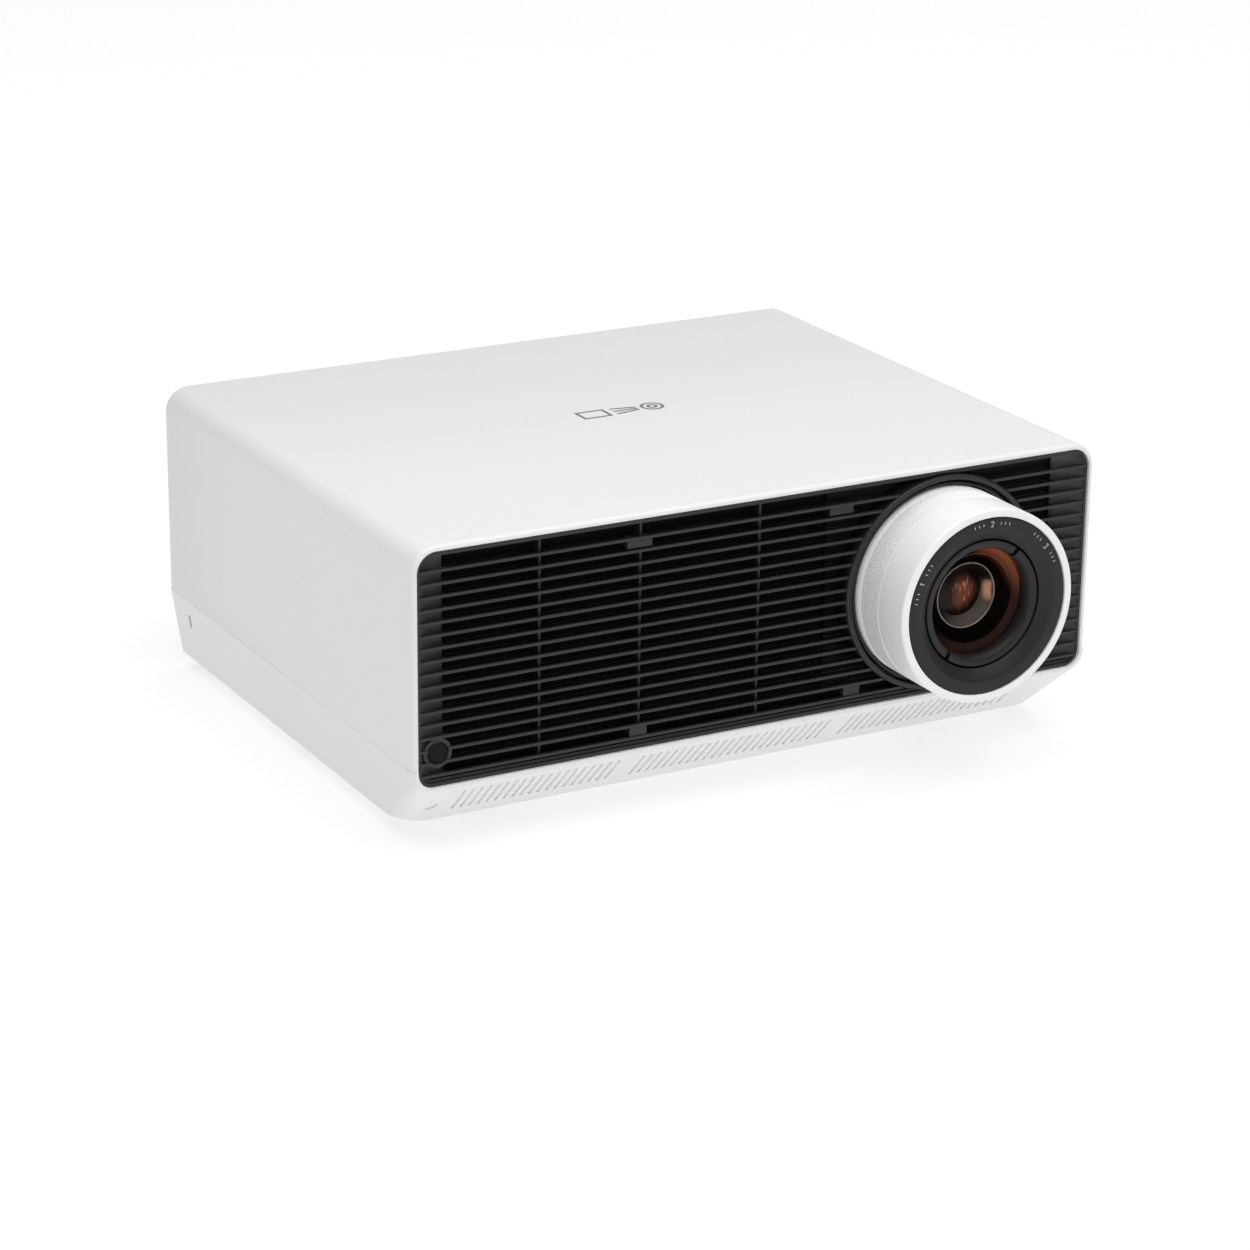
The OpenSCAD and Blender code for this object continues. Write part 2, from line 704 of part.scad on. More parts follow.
module focus_cell() {
    color([0.16, 0.16, 0.17]) case_frame() difference() {
        translate([lens_x, 0, lens_z]) rotate([-90, 0, 0]) rotate_extrude($fn = 128)
            polygon([[cell_r - 0.5, cell_front], [glass_r + 1.6, cell_front + 0.5],
                [glass_r + 0.3, cell_front + 3], [glass_r + 0.3, cell_front + 8],
                [17, cell_front + 15], [17, cell_end], [cell_r - 0.5, cell_end]]);
        for (a = [52, 232]) translate([lens_x, 0, lens_z]) rotate([0, -a, 0])
            span([glass_r - 1, cell_front - 1, -1.1], [cell_r + 1, cell_front + 2.4, 1.1]);
    }
}

// Meniscus with its bulge forward, both faces spheres: depth = radius - sqrt(radius^2 - r^2)
function sag(r, radius) = radius - sqrt(radius * radius - r * r);

module front_lens() {
    steps = [for (i = [0 : 10]) i / 10 * (glass_r + 0.2)];
    face = [for (r = steps) [r, cell_front + 3 + sag(r, 138)]];
    rear = [for (i = [10 : -1 : 0]) [steps[i], cell_front + 6.2 + sag(steps[i], 275)]];
    color([0.45, 0.3, 0.2, 0.6]) lens_turn() polygon(concat(face, rear));
}

module zoom_cell() {
    color([0.12, 0.12, 0.12]) lens_turn() polygon([[16, zoom_cell_y], [zoom_bore_r - run_gap, zoom_cell_y],
        [zoom_bore_r - run_gap, zoom_cell_y + zoom_cell_len], [16, zoom_cell_y + zoom_cell_len]]);
}

module zoom_lens() {
    color([0.6, 0.6, 0.7, 0.5]) lens_turn() intersection() {
        translate([0, zoom_cell_y + 2]) square([15.9, 12]);
        translate([0, zoom_cell_y + 34]) circle(32, $fn = 180);
        translate([0, zoom_cell_y - 18]) circle(32, $fn = 180);
    }
}

module aperture_stop() {
    color([0.07, 0.07, 0.07]) lens_turn() translate([11, zoom_cell_y + zoom_cell_len + zoom_travel + 3])
        square([zoom_bore_r - 11, 1.2]);
}

module rear_lens() {
    color([0.6, 0.6, 0.7, 0.5]) lens_turn() intersection() {
        translate([0, barrel_end - 14]) square([zoom_bore_r - 0.05, 9]);
        translate([0, barrel_end + 42]) circle(56, $fn = 180);
    }
}

module engine_housing() {
    color([0.6, 0.6, 0.62]) case_frame() difference() {
        span([beam_x0, eng_y0, eng_low], [lens_x + eng_hw, eng_y1, eng_high - eng_wall]);
        span([beam_x0 + eng_wall, eng_y0 + eng_wall, eng_low + eng_wall],
            [lens_x + eng_hw - eng_wall, eng_y1 - eng_wall, eng_high]);
        rod_y(22, eng_y0 - 1, eng_y0 + eng_wall + 1, lens_x, lens_z);
        rod_x(tube_r - 3, beam_x0 - 1, beam_x0 + eng_wall + 1, beam_y, lens_z);
        span([lens_x - 13, eng_y1 - eng_wall - 1, lens_z - 10], [lens_x + 13, eng_y1 + 1, lens_z + 10]);
    }
}

module engine_lid() {
    color([0.55, 0.55, 0.57]) case_frame() {
        span([beam_x0, eng_y0, eng_high - eng_wall], [lens_x + eng_hw, eng_y1, eng_high]);
    }
}

module prism() {
    color([0.7, 0.75, 0.8, 0.5]) case_frame() translate([0, 0, lens_z - 16]) linear_extrude(32)
        polygon([[lens_x - 18, beam_y - 18], [lens_x + 18, beam_y - 18], [lens_x + 18, beam_y + 18],
            [lens_x - 18, beam_y + 18]]);
    color([0.3, 0.3, 0.32]) case_frame() {
        span([lens_x - 20, beam_y - 20, eng_low + eng_wall], [lens_x + 20, beam_y + 20, lens_z - 16]);
    }
}

module mirror_chip() {
    color([0.3, 0.35, 0.4]) case_frame() {
        span([lens_x - 12, eng_y1 - eng_wall, lens_z - 9], [lens_x + 12, eng_y1 + 1, lens_z + 9]);
    }
}

module mirror_board() {
    color([0.1, 0.35, 0.2]) case_frame() {
        span([lens_x - 34, eng_y1 + 1, lens_z - 30], [lens_x + 34, eng_y1 + 1 + board_t, lens_z + 30]);
    }
}

module mirror_heatsink() {
    y0 = eng_y1 + 1 + board_t;
    color([0.75, 0.75, 0.77]) case_frame() {
        span([lens_x - 26, y0, lens_z - 24], [lens_x + 26, y0 + 3, lens_z + 24]);
        for (i = [0 : 8]) span([lens_x - 26 + i * 6.3, y0 + 3 - eps, lens_z - 24],
            [lens_x - 24.4 + i * 6.3, y0 + 20, lens_z + 24]);
    }
}

module mirror_ribbon() {
    y0 = eng_y1 + 1 + board_t;
    color([0.85, 0.85, 0.8]) case_frame() translate([lens_x - 10, 0, 0]) rotate([90, 0, 90])
        linear_extrude(20)
        polygon([[y0, lens_z - 26], [y0 + 0.5, lens_z - 26], [y0 + 0.5, board_top + 16],
            [y0 + 12, board_top + 4.5],
            [main_y[0] + 12, board_top + 4.5], [main_y[0] + 14, board_top], [main_y[0] + 13, board_top],
            [main_y[0] + 11.6, board_top + 4], [y0 + 11.8, board_top + 4], [y0, board_top + 15.6]]);
}

module collimator_tube() {
    color([0.35, 0.35, 0.37]) case_frame() difference() {
        union() {
            rod_x(tube_r, beam_x0 - tube_len, beam_x0, beam_y, lens_z);
            rod_x(tube_r + 5, beam_x0 - 3, beam_x0, beam_y, lens_z);
        }
        rod_x(tube_r - 3, beam_x0 - tube_len - 1, beam_x0 + 1, beam_y, lens_z);
    }
}

module relay_lens() {
    color([0.6, 0.6, 0.7, 0.5]) case_frame() {
        translate([beam_x0 - tube_len / 2, beam_y, lens_z]) rotate([0, 90, 0]) rotate_extrude($fn = 96)
            intersection() {
                translate([0, -6]) square([tube_r - 3.05, 12]);
                translate([0, -26]) circle(30, $fn = 180);
                translate([0, 26]) circle(30, $fn = 180);
            }
    }
}

module phosphor_wheel() {
    color([0.85, 0.8, 0.3]) case_frame() difference() {
        union() {
            rod_x(wheel_r, wheel_x, wheel_x + 1.5, beam_y, wheel_z);
            rod_x(8, wheel_x - 4, wheel_x + 4, beam_y, wheel_z);
        }
        rod_x(2 + run_gap, wheel_x - 5, wheel_x + 2, beam_y, wheel_z);
    }
}

module wheel_motor() {
    color([0.4, 0.4, 0.42]) case_frame() {
        rod_x(10, wheel_x - 14, wheel_x - 4.6, beam_y, wheel_z);
        rod_x(2, wheel_x - 5, wheel_x + 1, beam_y, wheel_z);
        span([wheel_x - 17, beam_y - 14, wall], [wheel_x - 14, beam_y + 14, wheel_z + 12]);
        span([wheel_x - 20, beam_y - 14, wall], [wheel_x - 2, beam_y + 14, wall + 3]);
    }
}

module laser_module() {
    color([0.5, 0.42, 0.3]) case_frame() {
        span([laser_x0, beam_y - 24, lens_z - 24], [laser_x1, beam_y + 24, lens_z + 24]);
        rod_x(13, laser_x1 - eps, laser_x1 + 5, beam_y, lens_z + 4);
    }
}

module laser_heatsink() {
    z0 = lens_z - 38;
    color([0.75, 0.75, 0.77]) case_frame() {
        span([laser_x0 - 5, sink_y0, z0], [laser_x0, sink_y0 + sink_d, lens_z + 36]);
        span([sink_x0, sink_y0, z0], [laser_x0 - 5 + eps, sink_y0 + sink_d, z0 + 3]);
        for (i = [0 : 11]) {
            span([sink_x0, sink_y0 + i * 6.7, z0 + 3 - eps],
                [laser_x0 - 5 + eps, sink_y0 + i * 6.7 + 1.5, lens_z + 36]);
        }
    }
}

// Square frame of a fan seen along its axis, with its four screw holes
module fan_square() {
    difference() {
        square(fan_s, center = true);
        for (sx = [-1, 1], sz = [-1, 1]) translate([sx * (fan_s / 2 - 4.5), sz * (fan_s / 2 - 4.5)])
            circle(2.1, $fn = 24);
    }
}

module fan_frames() {
    back = fan_y + fan_t;
    strut_t = 2.5;
    color([0.12, 0.12, 0.12]) case_frame() for (x = fan_x) translate([x, 0, fan_z]) {
        along_y(fan_y, back - strut_t) difference() {
            fan_square();
            circle(fan_bore_r);
        }
        along_y(back - strut_t, back) {
            difference() {
                fan_square();
                circle(fan_bore_r);
            }
            circle(hub_r);
            for (a = [10 : 90 : 280]) rotate(a) translate([hub_r - 1, -1.5])
                square([fan_bore_r - hub_r + 2, 3]);
        }
        rod_y(2, fan_y + 5, back - strut_t + 1, 0, 0);
    }
}

module fan_rotor(x) {
    color([0.17, 0.17, 0.18]) case_frame() translate([x, 0, fan_z]) difference() {
        union() {
            rod_y(hub_r, fan_y + 2, fan_y + fan_t - 3, 0, 0);
            intersection() {
                rod_y(fan_bore_r - 1.2, fan_y + 2, fan_y + fan_t - 3, 0, 0);
                for (i = [0 : fan_blades - 1]) translate([0, fan_y + fan_t / 2 - 0.5, 0])
                    rotate([0, i * 360 / fan_blades, 0])
                    rotate([38, 0, 0]) translate([hub_r - 2, -0.7, -fan_t])
                        cube([fan_bore_r, 1.4, 2 * fan_t]);
            }
        }
        rod_y(2 + run_gap, fan_y + 4, fan_y + fan_t, 0, 0);
    }
}

module left_fan_rotor() { fan_rotor(fan_x[0]); }
module right_fan_rotor() { fan_rotor(fan_x[1]); }

module main_board() {
    color([0.08, 0.3, 0.2]) case_frame() span([main_x[0], main_y[0], board_z],
        [main_x[1], main_y[1], board_top]);
}

module main_board_parts() {
    x = lens_x - 75;
    y = main_y[0] + 14;
    color([0.2, 0.2, 0.22]) case_frame() {
        span([x, y, board_top], [x + 32, y + 32, chip_z]);
        for (i = [0 : 7]) span([x, y + i * 4.3, chip_z - eps], [x + 32, y + i * 4.3 + 1.6, chip_z + 12]);
        for (i = [0 : 3]) span([x - 42, y + i * 10, board_top], [x - 28, y + 8 + i * 10, board_top + 1.2]);
        for (i = [0 : 4]) post(x - 55, y + i * 9, board_top, board_top + 9, 3);
        for (i = [0 : 2]) span([x - 22, y + 4 + i * 12, board_top],
            [x - 12, y + 13 + i * 12, board_top + 5]);
    }
}

module power_board() {
    color([0.45, 0.35, 0.12]) case_frame() span([power_x[0], power_y[0], board_z],
        [power_x[1], power_y[1], board_top]);
}

module power_board_parts() {
    x = power_x[0];
    y = power_y[0];
    color([0.2, 0.2, 0.22]) case_frame() {
        span([x + 8, y + 12, board_top], [x + 40, y + 42, board_top + 28]);
        for (i = [0, 1]) post(x + 56, y + 18 + i * 22, board_top, board_top + 32, 9);
        span([x + 46, y + 52, board_top], [x + 49, y + 92, board_top + 30]);
        for (i = [0 : 3]) post(x + 10 + i * 9, y + 54, board_top, board_top + 14, 3.5);
        span([x + 12, y + 62, board_top], [x + 32, y + 76, board_top + 12]);
    }
}

module inlet_wires() {
    y0 = panel_out - 26;
    bend = 6;
    color([0.5, 0.3, 0.15]) case_frame() for (p = [[-7, -2], [7, -2], [0, 2]])
        translate([inlet_x + p[0], 0, inlet_z + p[1]]) {
        rod_y(1.2, y0 - 2, y0, 0, 0);
        translate([0, y0 - 2, -bend]) rotate([0, 90, 0]) rotate([0, 0, 180]) rotate_extrude(angle = 90)
            translate([bend, 0]) circle(1.2);
        translate([0, y0 - 2 - bend, board_top - inlet_z - p[1]])
            cylinder(r = 1.2, h = inlet_z + p[1] - bend - board_top);
    }
}

module speaker_frames() {
    color([0.3, 0.3, 0.32]) case_frame() for (s = [-1, 1]) translate([s * speaker_x, 0, speaker_z])
        difference() {
        union() {
            span([-speaker_r - 4, panel_y - 4, -speaker_r - 4], [speaker_r + 4, panel_y, speaker_r + 4]);
            rod_y(speaker_r - 2, panel_y - 14, panel_y - 4 + eps, 0, 0);
            rod_y(12, panel_y - 22, panel_y - 14 + eps, 0, 0);
        }
        translate([0, panel_y + 0.2, 0]) rotate([90, 0, 0]) cylinder(r1 = speaker_r, r2 = 7, h = 13);
    }
}

module speaker_cones() {
    color([0.1, 0.1, 0.1]) case_frame() for (s = [-1, 1]) translate([s * speaker_x, panel_y - 1, speaker_z])
        rotate([90, 0, 0]) difference() {
            cylinder(r1 = speaker_r - 1.5, r2 = 6, h = 11);
            translate([0, 0, -1]) cylinder(r1 = speaker_r - 2.4, r2 = 5, h = 11);
        }
}

top_cover();
base_tray();
front_grille();
lens_collar();
dust_filter();
lens_shroud();
ir_window();
rear_panel();
power_inlet();
hdmi_ports();
usb_ports();
lan_port();
audio_jack();
joystick_bezel();
joystick_gimbal();
joystick_stem();
joystick_cap();
case_screws();
mount_inserts();
lock_plate();
rear_feet();
foot_nuts();
left_foot_pad();
left_foot_screw();
right_foot_pad();
right_foot_screw();
lens_barrel();
zoom_ring();
focus_ring();
lens_front_ring();
focus_cell();
front_lens();
zoom_cell();
zoom_lens();
aperture_stop();
rear_lens();
engine_housing();
engine_lid();
prism();
mirror_chip();
mirror_board();
mirror_heatsink();
mirror_ribbon();
collimator_tube();
relay_lens();
phosphor_wheel();
wheel_motor();
laser_module();
laser_heatsink();
fan_frames();
left_fan_rotor();
right_fan_rotor();
main_board();
main_board_parts();
power_board();
power_board_parts();
inlet_wires();
speaker_frames();
speaker_cones();
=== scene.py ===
import math

import bmesh
import bpy
import numpy as np
from mathutils import Matrix, Vector


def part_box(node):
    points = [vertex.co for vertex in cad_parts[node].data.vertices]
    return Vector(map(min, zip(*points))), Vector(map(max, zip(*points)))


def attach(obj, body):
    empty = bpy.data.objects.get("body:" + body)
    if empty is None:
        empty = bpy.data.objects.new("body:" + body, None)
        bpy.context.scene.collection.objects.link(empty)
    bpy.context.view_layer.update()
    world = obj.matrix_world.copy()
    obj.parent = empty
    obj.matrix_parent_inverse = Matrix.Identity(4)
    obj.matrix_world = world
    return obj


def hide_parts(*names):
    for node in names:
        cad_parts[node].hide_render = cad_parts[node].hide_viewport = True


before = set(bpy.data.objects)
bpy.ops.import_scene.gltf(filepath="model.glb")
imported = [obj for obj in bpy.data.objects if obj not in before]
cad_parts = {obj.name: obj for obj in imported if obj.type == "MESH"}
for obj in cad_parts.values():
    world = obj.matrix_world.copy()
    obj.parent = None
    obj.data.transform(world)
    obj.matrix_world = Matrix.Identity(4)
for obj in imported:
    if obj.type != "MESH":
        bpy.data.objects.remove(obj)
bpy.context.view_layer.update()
mm = 0.001

# ---------------------------------------------------------------- studio
# The projector stands on a white table under a broad overhead softbox, with a pale room all round.
# The camera stands off the front left corner.


def aim(position, target, roll=0.0):
    """Matrix of a camera or lamp at position that looks at target, turned by roll about its own axis."""
    back = (Vector(position) - Vector(target)).normalized()
    right = Vector((0, 0, 1)).cross(back).normalized()
    up = back.cross(right)
    turn = Matrix.Rotation(roll, 3, "Z")
    return Matrix.Translation(position) @ (Matrix((right, up, back)).transposed() @ turn).to_4x4()


def softbox(name, position, target, size, watts):
    """A rectangular area lamp of the given width and height."""
    lamp = bpy.data.lights.new(name, "AREA")
    lamp.shape, lamp.size, lamp.size_y, lamp.energy = "RECTANGLE", *size, watts
    holder = bpy.data.objects.new(name, lamp)
    bpy.context.scene.collection.objects.link(holder)
    holder.matrix_world = aim(position, target)


def camera(target, azimuth, elevation, roll, distance, lens):
    """A camera that stands at an azimuth and elevation, in degrees, and a distance from its target."""
    a, e = math.radians(azimuth), math.radians(elevation)
    back = Vector((math.sin(a) * math.cos(e), -math.cos(a) * math.cos(e), math.sin(e)))
    eye = bpy.data.objects.new("camera", bpy.data.cameras.new("camera"))
    eye.data.lens, eye.data.sensor_width = lens, 36
    eye.data.clip_start, eye.data.clip_end = 0.1, 50
    bpy.context.scene.collection.objects.link(eye)
    eye.matrix_world = aim(Vector(target) + distance * back, target, math.radians(roll))
    bpy.context.scene.camera = eye


camera((-0.01017, -0.006, 0.0491), -28.91, 19.67, 0.65, 1.85672, 106.8)
softbox("overhead_box", (0.1, -0.6, 4), (0, 0, 0), (6, 6), 222)
softbox("front_box", (-1.5, -3.2, 0.6), (0, 0, 0.1), (2.4, 1.2), 6)
room = bpy.data.worlds.new("pale_room")
room.use_nodes = True
room.node_tree.nodes["Background"].inputs["Color"].default_value = (1, 1, 1, 1)
room.node_tree.nodes["Background"].inputs["Strength"].default_value = 0.3
bpy.context.scene.world = room
bpy.context.scene.view_settings.view_transform = "Standard"


# ---------------------------------------------------------------- white case
# The case is two injection mouldings of white ABS with a fine spark-eroded grain: a top cover that
# wraps over both sides, and a base tray with a sloped, grooved front. Six screws hold them together.


class Wire:
    """One number that travels between nodes; arithmetic on it adds the Math node that does the sum."""

    def __init__(self, finish, socket):
        self.finish, self.socket = finish, socket

    def maths(self, operation, a, b=0.0):
        return self.finish.node("Math", {"operation": operation}, {0: a, 1: b})

    def __add__(self, other):
        return self.maths("ADD", self, other)

    def __sub__(self, other):
        return self.maths("SUBTRACT", self, other)

    def __rsub__(self, other):
        return self.maths("SUBTRACT", other, self)

    def __mul__(self, other):
        return self.maths("MULTIPLY", self, other)

    def __truediv__(self, other):
        return self.maths("DIVIDE", self, other)

    __radd__, __rmul__ = __add__, __mul__


class Finish:
    """A material: one Principled shader with constants on its sockets, and nodes that vary it in place."""

    def __init__(self, name, **constants):
        self.material = bpy.data.materials.new(name)
        self.material.use_nodes = True
        self.tree = self.material.node_tree
        self.shader = self.tree.nodes["Principled BSDF"]
        for socket, value in constants.items():
            self.put(socket.replace("_", " "), value)
        self.place = self.node("TexCoord", out="Object")

    def join(self, value, socket):
        if isinstance(value, Wire):
            self.tree.links.new(value.socket, socket)
        else:
            socket.default_value = value

    def node(self, kind, settings=(), inputs=(), out=0):
        """Adds a node, sets its settings and then its sockets, and returns one of its outputs."""
        added = self.tree.nodes.new("ShaderNode" + kind)
        for key, value in dict(settings).items():
            setattr(added, key, value)
        for key, value in dict(inputs).items():
            self.join(value, added.inputs[key])
        return Wire(self, added.outputs[out])

    def put(self, socket, value):
        self.join(value, self.shader.inputs[socket])

    def grain(self, size, detail=2.0, place=None):
        """Noise with features of about the given size in metres, from 0 to 1."""
        place = place or self.place
        return self.node("TexNoise", {}, {"Vector": place, "Scale": 1 / size, "Detail": detail})

    def cells(self, size, out="Distance", place=None):
        """Rounded cells of the given size in metres."""
        return self.node("TexVoronoi", {}, {"Vector": place or self.place, "Scale": 1 / size}, out)

    def stretched(self, x, y, z):
        """Object coordinates multiplied along each axis, which draws a pattern out along the small ones."""
        return self.node("Mapping", {}, {"Vector": self.place, "Scale": (x, y, z)})

    def axes(self):
        """The x, y and z of Object coordinates as three numbers."""
        split = self.tree.nodes.new("ShaderNodeSeparateXYZ")
        self.tree.links.new(self.place.socket, split.inputs[0])
        return [Wire(self, output) for output in split.outputs]

    def blend(self, factor, a, b):
        """Colour that runs from a to b as factor goes from 0 to 1."""
        colours = {6: (*a, 1) if isinstance(a, tuple) else a, 7: (*b, 1) if isinstance(b, tuple) else b}
        return self.node("Mix", {"data_type": "RGBA"}, {0: factor, **colours}, out=2)

    def ramp(self, factor, low, high, a=0.0, b=1.0):
        """Number that runs smoothly from a to b as factor goes from low to high, and stays at the ends."""
        sockets = {0: factor, 1: low, 2: high, 3: a, 4: b}
        return self.node("MapRange", {"interpolation_type": "SMOOTHSTEP"}, sockets)

    def relief(self, height, depth):
        """Bumps the surface by height, from 0 to 1, times depth in metres."""
        self.put("Normal", self.node("Bump", {}, {"Strength": 1.0, "Distance": depth, "Height": height}))


def moulded(name, colour, roughness, grain=0.45 * mm, depth=0.012 * mm, drift=0.03, **constants):
    """Moulded plastic: fine spark-eroded grain in the roughness and relief, and a faint drift of shade."""
    finish = Finish(name, **constants)
    cloud = finish.grain(60 * mm, 3)
    fine = finish.grain(grain, 3)
    dark = tuple(c * (1 - drift) for c in colour)
    finish.put("Base Color", finish.blend(cloud, dark, colour))
    finish.put("Roughness", roughness - 0.06 + 0.12 * fine)
    finish.relief(fine, depth)
    return finish


def finished(name, mesh, finish, sharp=35):
    """Puts a mesh in the scene under its material, smooth but for edges sharper than the given angle."""
    mesh.materials.clear()
    mesh.materials.append(finish.material)
    mesh.shade_smooth()
    mesh.set_sharp_from_angle(angle=math.radians(sharp))
    piece = bpy.data.objects.new(name, mesh)
    bpy.context.scene.collection.objects.link(piece)
    return piece


def skin(name, grids, finish, wrap=(False, False), caps=False, sharp=35):
    """Surfaces from grids of points (rows, columns, xyz): each cell of a grid is one face.

    wrap joins the last row or column to the first, and caps closes the first and last row with one face.
    Points that coincide, as at a pole, are merged, and faces are turned to look outwards."""
    corners, faces, start = [], [], 0
    for points in grids if isinstance(grids, list) else [grids]:
        rows, columns = points.shape[:2]
        index = np.arange(start, start + rows * columns).reshape(rows, columns)
        faces += [index[0, ::-1].tolist(), index[-1].tolist()] if caps else []
        index = np.vstack([index, index[:1]]) if wrap[0] else index
        index = np.hstack([index, index[:, :1]]) if wrap[1] else index
        cells = np.stack([index[:-1, :-1], index[1:, :-1], index[1:, 1:], index[:-1, 1:]], -1)
        faces += cells.reshape(-1, 4).tolist()
        corners.append(points.reshape(-1, 3))
        start += rows * columns
    mesh = bpy.data.meshes.new(name)
    mesh.from_pydata(np.concatenate(corners).tolist(), [], faces)
    work = bmesh.new()
    work.from_mesh(mesh)
    bmesh.ops.remove_doubles(work, verts=work.verts, dist=1e-7)
    bmesh.ops.recalc_face_normals(work, faces=work.faces)
    work.to_mesh(mesh)
    work.free()
    return finished(name, mesh, finish, sharp)


def softened(node, finish, width, segments=2, angle=32):
    """A copy of a moulded or machined solid: its triangles are joined, its flats made whole, and its hard
    edges eased by a bevel of the given width."""
    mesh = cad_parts[node].data.copy()
    work = bmesh.new()
    work.from_mesh(mesh)
    bmesh.ops.remove_doubles(work, verts=work.verts, dist=2e-6)
    bmesh.ops.dissolve_limit(work, angle_limit=math.radians(0.6), verts=work.verts, edges=work.edges)
    work.to_mesh(mesh)
    work.free()
    piece = finished(node + "_shape", mesh, finish, angle)
    if width:
        bevel = piece.modifiers.new("eased_edges", "BEVEL")
        bevel.width, bevel.segments, bevel.limit_method = width, segments, "ANGLE"
        bevel.angle_limit, bevel.use_clamp_overlap = math.radians(angle), True
    return piece


def stands_for(piece, body, slot, *nodes):
    """Fixes a piece to its body and takes the place of CAD nodes. slot, the finish's name, is not used."""
    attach(piece, body)
    if nodes:
        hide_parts(*nodes)
    return piece


case_lo, case_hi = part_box("top_cover")
rim, roof = case_lo.y, case_hi.z
floor_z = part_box("base_tray")[0].z
wall = 2.6 * mm


def cover_shell():
    """The wall's own section, a loop of (depth inwards, y), is carried along the arch of the case: up one
    side, round a corner, across the top and down the other side, always square to the arch."""
    corner, edge, line, skim = 12.5 * mm, 2.3 * mm, 0.2 * mm, 0.05 * mm
    split = floor_z + 35.7 * mm
    arc = np.linspace(0, np.pi / 2, 17)
    side, top = case_hi.x - skim, roof - skim
    start = np.array([0, 0.3 * line, line, 12 * mm, 40 * mm])
    turn = np.stack([side - corner + corner * np.cos(arc), top - corner + corner * np.sin(arc)], -1)
    right = np.concatenate([np.stack([np.full(5, side), split + start], -1), turn])
    normal = np.concatenate([np.tile([1.0, 0.0], (5, 1)), np.stack([np.cos(arc), np.sin(arc)], -1)])
    mirror = np.array([-1.0, 1.0])
    arch = np.concatenate([right, right[::-1] * mirror])
    outward = np.concatenate([normal, normal[::-1] * mirror])
    bend = np.linspace(0, np.pi / 2, 9)
    front = np.stack([edge - edge * np.sin(bend), rim + edge - edge * np.cos(bend)], -1)
    back = np.array([[0, case_hi.y - 0.8 * mm], [0.25 * mm, case_hi.y - 0.2 * mm], [0.8 * mm, case_hi.y]])
    ends = np.array([[wall, case_hi.y], [wall, rim + 0.3 * mm], [wall - 0.2 * mm, rim + 0.06 * mm]])
    section = np.concatenate([front, back, ends])
    parting = np.zeros(len(arch))
    parting[[0, -1]], parting[[1, -2]] = line, 0.3 * line
    depth = section[None, :, 0] + parting[:, None] * (section[None, :, 0] < edge / 2)
    flat = arch[:, None] - outward[:, None] * depth[..., None]
    y = np.broadcast_to(section[None, :, 1], flat.shape[:2])
    return np.stack([flat[..., 0], y, flat[..., 1]], -1)


def tube(x, y, outline, count=24):
    """An outline of (radius, z), turned once round an upright axis at x, y."""
    outline = np.asarray(outline, float)
    angle = np.arange(count) * 2 * np.pi / count
    radius = outline[:, :1]
    z = np.broadcast_to(outline[:, 1:], (len(outline), count))
    return np.stack([x + radius * np.cos(angle), y + radius * np.sin(angle), z], -1)


white = moulded("white_abs", (0.83, 0.832, 0.838), 0.42, Specular_IOR_Level=0.45)
cover = skin("top_cover_shell", cover_shell(), white, wrap=(False, True), caps=True)
stands_for(cover, "case", "white_shell", "top_cover")
post_x, post_y, post_low = 172 * mm, (-78 * mm, 24 * mm, 150 * mm), floor_z + 8.2 * mm
bored = [(1.6 * mm, post_low), (4 * mm, post_low), (4 * mm, roof - wall), (1.6 * mm, roof - wall)]
posts = [tube(s * post_x, y, bored) for s in (-1, 1) for y in post_y]
stands_for(skin("cover_posts", posts, white, wrap=(True, True)), "case", "white_shell")
tray = softened("base_tray", white, 0.35 * mm)
stands_for(tray, "case", "white_shell", "base_tray")


# ---------------------------------------------------------------- printed mark
# A plain grey pictogram is pad-printed in the middle of the top, to be read from behind: a lens, three
# rays and a screen. The ink is a thin film on the cover.


def stroke(path, width, closed=False):
    """Left and right edges of a line of the given width along a path, mitred at its corners."""
    p = np.asarray(path, float)
    ahead, behind = np.roll(p, -1, 0) - p, p - np.roll(p, 1, 0)
    if not closed:
        ahead[-1], behind[0] = behind[-1], ahead[0]
    ahead = ahead / np.linalg.norm(ahead, axis=1, keepdims=True)
    behind = behind / np.linalg.norm(behind, axis=1, keepdims=True)
    along = (ahead + behind) / np.linalg.norm(ahead + behind, axis=1, keepdims=True)
    across = np.stack([-along[:, 1], along[:, 0]], -1)
    reach = width / 2 / np.sum(across * np.stack([-ahead[:, 1], ahead[:, 0]], -1), 1)
    return p + across * reach[:, None], p - across * reach[:, None]


def ink(paths, width, low, high, place):
    """Thin raised lines: each stroke gets a bottom and a top, as a ribbon with a rectangular section."""
    films = []
    for path, closed in paths:
        left, right = stroke(path, width, closed)
        loop = [(left, low), (right, low), (right, high), (left, high)]
        points = [place(edge[:, 0], edge[:, 1], np.full(len(edge), h)) for edge, h in loop]
        film = np.stack(points, 1)
        films.append(np.concatenate([film, film[:1]]) if closed else film)
    return films


def circle(x, y, radius, count=48):
    """Points of a circle."""
    angle = np.arange(count) * 2 * np.pi / count
    return np.stack([x + radius * np.cos(angle), y + radius * np.sin(angle)], -1)


def on_top(u, v, h):
    """Places a drawing on the cover at the height h, to be read from behind."""
    mark_x, mark_y = 4 * mm, 25 * mm
    return np.stack([mark_x - u, mark_y - v, h], -1)


